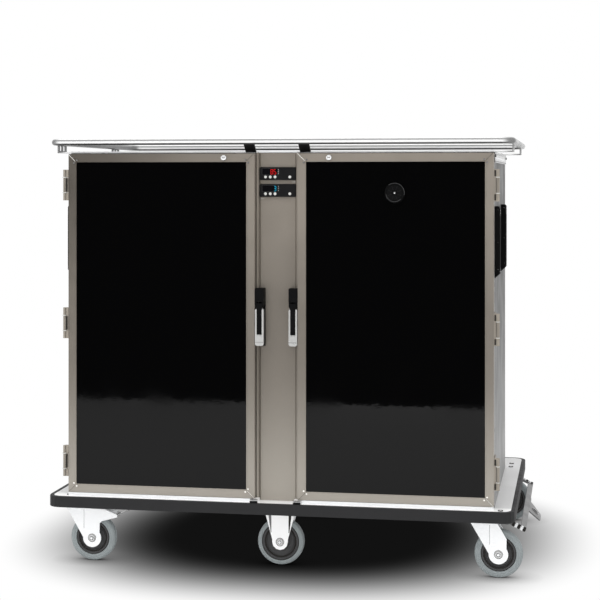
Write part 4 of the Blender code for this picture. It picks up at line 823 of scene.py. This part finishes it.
def make_controllers():
    """The two controllers: case, dark lens, lit figures, tiny lamps, domed buttons and an arrow below."""
    for name, figures, glow, point in (("upper", "85", RED_GLOW, 1), ("lower", " 3", CYAN_GLOW, -1)):
        low, high = corners(f"controller_{name}")
        face, middle = low.y, (low.z + high.z) / 2
        outline = rounded(low.x, low.z, high.x, high.z, 4 * MM)
        case = slab(f"controller_case_{name}", [outline], face, high.y, "XZ", BLACK_PLASTIC, bevel=1.0)
        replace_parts(case, f"controller_{name}")
        left, right = low.x + 9 * MM, low.x + 63 * MM
        bottom, top, rim_width = middle - 4.2 * MM, middle + 17.6 * MM, 0.7 * MM
        lens = rounded(left, bottom, right, top, 1.5 * MM, 3)
        rim = rounded(left - rim_width, bottom - rim_width, right + rim_width, top + rim_width, 2 * MM, 3)
        slab(f"display_rim_{name}", [rim, lens], face - 0.3 * MM, face + 0.2 * MM, "XZ", HUB_PLASTIC)
        slab(f"display_{name}", [lens], face - 0.1 * MM, face + 0.5 * MM, "XZ", LENS)
        for index, figure in enumerate(figures):
            if figure != " ":
                start = CART_X + (10.9 * index - 23.6) * MM
                size = (7.2 * MM, 16.0 * MM)
                digit(f"figure_{name}_{index + 1}", figure, start, middle - 1.9 * MM, *size, face, glow)
        for index in range(3):
            spot = (CART_X + 2.6 * MM, face - 0.1 * MM, middle + (13.0 - 6.6 * index) * MM)
            dome(f"lamp_{name}_{index + 1}", spot, 1.1, 0.5, (0, -1, 0), LAMP_GLOW)
        for number in range(1, 5):
            node = f"button_{name}_{number}"
            start, end = corners(node)
            deep = (end.y - start.y) / MM
            profile = [
                (0, deep), (2.4, deep - 0.05), (4.0, deep - 0.4), (4.8, deep - 1.0), (4.95, deep - 1.5),
                (4.95, 0), (0, 0),
            ]
            spot = ((start.x + end.x) / 2, end.y, (start.z + end.z) / 2)
            cap = lathe(f"cap_{name}_{number}", profile, spot, WHITE_PLASTIC, node, (0, -1, 0), 40)
            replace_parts(cap, node)
        tip, z = CART_X + point * 61 * MM, low.z - 6 * MM
        neck = tip - point * 5 * MM
        shaft = rectangle(tip - point * 3 * MM, z - 0.6 * MM, tip - point * 13 * MM, z + 0.6 * MM)
        head = [(tip, z), (neck, z + 2.4 * MM), (neck, z - 2.4 * MM)]
        depth = (COLUMN_FRONT - 0.06 * MM, COLUMN_FRONT + 0.2 * MM)
        for label, shape in (("shaft", shaft), ("head", head)):
            slab(f"arrow_{label}_{name}", [shape], *depth, "XZ", WHITE_PLASTIC)


def make_latches():
    """The black strips in the levers and the lines of the latch heads."""
    for word in ("left", "right"):
        body = f"latch_lever_{word}"
        low, high = corners(body)
        middle = (low.x + high.x) / 2
        bottom, knee, top = low.z + 38 * MM, low.z + 119.5 * MM, high.z - 0.6 * MM
        wide, narrow = (high.x - low.x) / 2 - 0.4 * MM, 8.8 * MM
        strip = [
            (middle - narrow, bottom), (middle + narrow, bottom), (middle + narrow, knee),
            (middle + wide, top), (middle - wide, top), (middle - narrow, knee),
        ]
        slab(f"lever_strip_{word}", [strip], low.y - 0.3 * MM, low.y + 1.7 * MM, "XZ", DEEP_BLACK, body, 0.3)
        pivot = (low.y + 8 * MM, high.z - 8 * MM)
        sleeve = arc(pivot, 8.3 * MM, 0.0, pi, 24) + arc(pivot, 7.9 * MM, pi, 0.0, 24)
        edges = (low.x + 0.3 * MM, high.x - 0.3 * MM)
        slab(f"lever_sleeve_{word}", [sleeve], *edges, "YZ", DEEP_BLACK, body)
        line = rectangle(low.x + 0.6 * MM, low.z + 11.4 * MM, high.x - 0.6 * MM, low.z + 12.6 * MM)
        slab(f"lever_step_{word}", [line], low.y - 0.1 * MM, low.y + 0.5 * MM, "XZ", BOLT_STEEL, body)


def make_deck_details():
    """Bolt heads on the deck and grooved pads on the door rests."""
    for index, (x, y) in enumerate(DECK_BOLTS):
        centre = (CART_X + x * MM, DOOR_FRONT + y * MM, DECK_TOP)
        ring = rectangle(6.2, 0.05, 8.6, 2.2)
        lathe(f"deck_bolt_shadow_{index + 1}", ring, centre, LINE_DARK, axis=(0, 0, 1), segments=32)
        dome(f"deck_bolt_{index + 1}", centre, 6, 3.4, (0, 0, 1), SILVER)
    rest_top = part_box("deck")[1][2]
    start, stop = DOOR_FRONT - 13.6 * MM, DOOR_FRONT - 1 * MM
    for word, side in SIDES:
        middle = CART_X + side * DOOR_INNER
        left, right = middle - 13 * MM, middle + 13 * MM
        front = rectangle(left, DECK_TOP, right, DECK_TOP + 7 * MM)
        slab(f"rest_front_{word}", [front], start - 0.4 * MM, start + 0.6 * MM, "XZ", BLACK_PLASTIC)
        pad = rectangle(left, start, right, stop)
        slab(f"rest_pad_{word}", [pad], rest_top - 0.2 * MM, rest_top + 0.8 * MM, "XY", TOW_ZINC, bevel=0.3)
        for label, shift in (("a", -5 * MM), ("b", 5 * MM)):
            groove = rectangle(middle + shift - 0.8 * MM, start, middle + shift + 0.8 * MM, stop)
            depth = (rest_top + 0.7 * MM, rest_top + 0.9 * MM)
            slab(f"rest_groove_{word}_{label}", [groove], *depth, "XY", LINE_DARK)


def make_grips():
    """The moulded grips, with round tops, chamfered bottoms, a scoop for the fingers and small screws."""
    length, proud, drop, scoop, rim, turn = 240 * MM, 18 * MM, 9 * MM, 34 * MM, 4 * MM, 9 * MM
    for name in [node for node in NODES if node.startswith("grip_")]:
        low, high = corners(name)
        side = 1 if low.x > CART_X else -1
        wall = low.x if side > 0 else high.x
        face = wall + side * proud
        top = high.z - drop
        bottom = top - length
        round_top = arc((0, top - turn), turn, 0, pi / 2, 8)
        crown = [(wall, top), (wall, top - scoop), (face, top - scoop)]
        crown += [(face - side * (turn - x), z) for x, z in round_top]
        heel = [(wall, bottom), (face, bottom + 16 * MM), (face, bottom + scoop), (wall, bottom + scoop)]
        head = slab(f"{name}_head", [crown], low.y, high.y, "XZ", DEEP_BLACK, bevel=1.6)
        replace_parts(head, name)
        slab(f"{name}_heel", [heel], low.y, high.y, "XZ", DEEP_BLACK, bevel=1.6)
        middle, span = (low.y + high.y) / 2, high.y - low.y - 2 * rim
        places = [low.y + rim + span * i / 12 for i in range(13)]
        dish = [(face - side * 6 * MM * cos((y - middle) / span * pi), y) for y in places]
        body = [(wall, low.y), (face, low.y)] + dish + [(face, high.y), (wall, high.y)]
        depth = (bottom + scoop - 1 * MM, top - scoop + 1 * MM)
        slab(f"{name}_body", [body], *depth, "XY", DEEP_BLACK, bevel=1.0)
        for index, z in enumerate((top - 14 * MM, top - 24 * MM, bottom + 22 * MM)):
            for word, end in ENDS:
                spot = (face - side * 0.2 * MM, middle + end * 20 * MM, z)
                dome(f"{name}_screw_{index + 1}_{word}", spot, 1.8, 1.0, (side, 0, 0), SILVER)
        for index, z in enumerate((top - 12 * MM, (top + bottom) / 2, bottom + 30 * MM)):
            spot = (wall + side * 11 * MM, low.y + 0.2 * MM, z)
            dome(f"{name}_pin_{index + 1}", spot, 1.3, 0.7, (0, -1, 0), BOLT_STEEL)


def make_wall_trims():
    """Pale edge strips and dark joints on the end walls, and bolts and painted light bands in the roof's
    skirt.
    """
    roof_low, roof_high = corners("roof_cap")
    front, rear = COLUMN_FRONT, COLUMN_HIGH.y
    strips = (
        ("joint", front - 0.7 * MM, front + 1.5 * MM, 0.10 * MM, LINE_DARK),
        ("strip", front + 1.5 * MM, front + 8.9 * MM, 0.35 * MM, SILVER),
        ("rear_strip", rear - 9.1 * MM, rear - 2.5 * MM, 0.35 * MM, SILVER),
        ("rear_joint", rear - 2.5 * MM, rear - 0.1 * MM, 0.10 * MM, LINE_DARK),
    )
    # The skirt's bands are painted light: dark above, a bright painted highlight in the middle and grey
    # below.
    folds = (("upper", 7, 1.6, BOLT_STEEL), ("middle", 20, 2.5, ZINC), ("lower", 31, 1.6, TOW_ZINC))
    for word, side in SIDES:
        face = CART_X + side * DOOR_OUTER
        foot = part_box(f"cabinet_{word}")[0][2] + 1 * MM
        for label, start, stop, proud, material in strips:
            outline = rectangle(start, foot, stop, roof_low.z)
            depth = (face - side * 0.4 * MM, face + side * proud)
            slab(f"wall_{label}_{word}", [outline], *depth, "YZ", material)
        skirt = roof_high.x if side > 0 else roof_low.x
        depth = (skirt - side * 0.4 * MM, skirt + side * 0.3 * MM)
        for label, drop, half, material in folds:
            bottom, top = (roof_high.z - (drop + step) * MM for step in (half, -half))
            outline = rectangle(roof_low.y + 4 * MM, bottom, roof_high.y - 4 * MM, top)
            slab(f"skirt_{label}_{word}", [outline], *depth, "YZ", material)
        for label, y in (("front", roof_low.y + 9 * MM), ("rear", roof_high.y - 9 * MM)):
            spot = (skirt, y, roof_high.z - 13 * MM)
            dome(f"skirt_bolt_{label}_{word}", spot, 5, 3.6, (side, 0, 0), LINE_DARK)


def make_floor():
    """A pale floor that the camera sees as white, with the cart's soft shadow painted on it."""
    surface = Surface("floor", (0.86, 0.86, 0.86), 0.6)
    tree = surface.tree
    point = surface.node("ShaderNodeNewGeometry").outputs["Position"]
    split = surface.node("ShaderNodeSeparateXYZ", Vector=point)
    reach = []
    for axis, centre, half in zip("XY", SHADOW_CENTRE, SHADOW_HALF):
        size = arithmetic(tree, "ABSOLUTE", arithmetic(tree, "SUBTRACT", split.outputs[axis], centre))
        reach.append(arithmetic(tree, "POWER", arithmetic(tree, "DIVIDE", size, half), SHADOW_SQUARENESS))
    radius = arithmetic(tree, "POWER", arithmetic(tree, "ADD", *reach), 1 / SHADOW_SQUARENESS)
    level = arithmetic(tree, "POWER", surface.remap(radius, *SHADOW_SPAN), SHADOW_DEPTH)
    level = arithmetic(tree, "MULTIPLY_ADD", level, 1 - SHADOW_FLOOR, SHADOW_FLOOR)
    contact = surface.node("ShaderNodeAmbientOcclusion", Distance=CONTACT_REACH).outputs["AO"]
    glow = surface.node("ShaderNodeEmission", Strength=arithmetic(tree, "MULTIPLY", level, contact))
    seen = surface.node("ShaderNodeLightPath").outputs["Is Camera Ray"]
    mixer = surface.node("ShaderNodeMixShader")
    for socket, value in zip(mixer.inputs, (seen, surface.shader.outputs[0], glow.outputs[0])):
        feed(tree, socket, value)
    feed(tree, tree.nodes["Material Output"].inputs["Surface"], mixer.outputs[0])
    bm = bmesh.new()
    bm.faces.new([bm.verts.new((x, y, 0)) for x, y in rectangle(-30, FLOOR_FRONT, 30, 60)])
    mesh = bpy.data.meshes.new("floor")
    bm.to_mesh(mesh)
    bm.free()
    mesh.materials.append(surface.material)
    add_object("floor", mesh)


def make_world():
    """White all round for the camera; for the object a bright studio with a dark wall in front."""
    world = bpy.data.worlds.new("studio")
    SCENE.world = world
    world.use_nodes = True
    tree = world.node_tree
    split = tree.nodes.new("ShaderNodeSeparateXYZ")
    feed(tree, split.inputs[0], tree.nodes.new("ShaderNodeTexCoord").outputs["Generated"])
    above, behind = ramp(tree, split.outputs["Z"], 0.04, 0.22), ramp(tree, split.outputs["Y"], -0.62, -0.25)
    bright = arithmetic(tree, "MAXIMUM", above, behind)
    ray = tree.nodes.new("ShaderNodeLightPath").outputs
    mirrored = arithmetic(tree, "MAXIMUM", ray["Is Glossy Ray"], ray["Is Transmission Ray"])
    mirrored = arithmetic(tree, "MULTIPLY", bright, mirrored)
    shown = arithmetic(tree, "MAXIMUM", ray["Is Camera Ray"], mirrored)
    level = ramp(tree, bright, 0.0, 1.0, 0.02, 0.95, "LINEAR")
    background = tree.nodes["Background"].inputs
    background["Color"].default_value = (1, 1, 1, 1)
    feed(tree, background["Strength"], arithmetic(tree, "MAXIMUM", level, shown))


def add_light(name, place, target, size, power):
    """A soft square lamp aimed at a point."""
    light = bpy.data.lights.new(name, "AREA")
    light.shape = "SQUARE"
    light.size = size
    light.energy = power
    obj = add_object(name, light)
    obj.location = place
    obj.rotation_euler = (Vector(target) - Vector(place)).to_track_quat("-Z", "Y").to_euler()
    obj.visible_glossy = False
    obj.visible_camera = False


def make_camera():
    """The camera at the photograph's place."""
    camera = bpy.data.cameras.new("camera")
    camera.sensor_width = SENSOR_WIDTH
    camera.lens = FOCAL_PIXELS / IMAGE_SIZE * SENSOR_WIDTH
    camera.shift_y = (HORIZON_ROW - IMAGE_SIZE / 2) / IMAGE_SIZE
    camera.clip_end = 200
    obj = add_object("camera", camera)
    obj.location = (CART_X + CAMERA_OFFSET.x, DOOR_FRONT + CAMERA_OFFSET.y, CAMERA_OFFSET.z)
    obj.rotation_euler = (pi / 2, 0, CAMERA_TURN)
    SCENE.camera = obj


make_camera()
make_floor()
make_world()
add_light("overhead", (0.3, -2.2, 4.2), (0, -0.3, 0.7), 3.0, 60)
add_light("left_fill", (-4.2, -2.6, 2.2), (0, 0, 0.8), 2.4, 30)
add_light("front_fill", (0.5, -6.6, 0.6), (0, -0.4, 0.4), 3.0, 130)
SCENE.view_settings.view_transform = "Standard"
set_materials()
make_wheels()
make_rail()
make_locks()
make_vent()
make_controllers()
make_latches()
make_deck_details()
make_grips()
make_front_strips()
make_wall_trims()
make_fixed_forks()
make_tow_bar()
for door, door_side in SIDES:
    make_door_details(door, door_side)
    make_hinge_details(door, door_side)
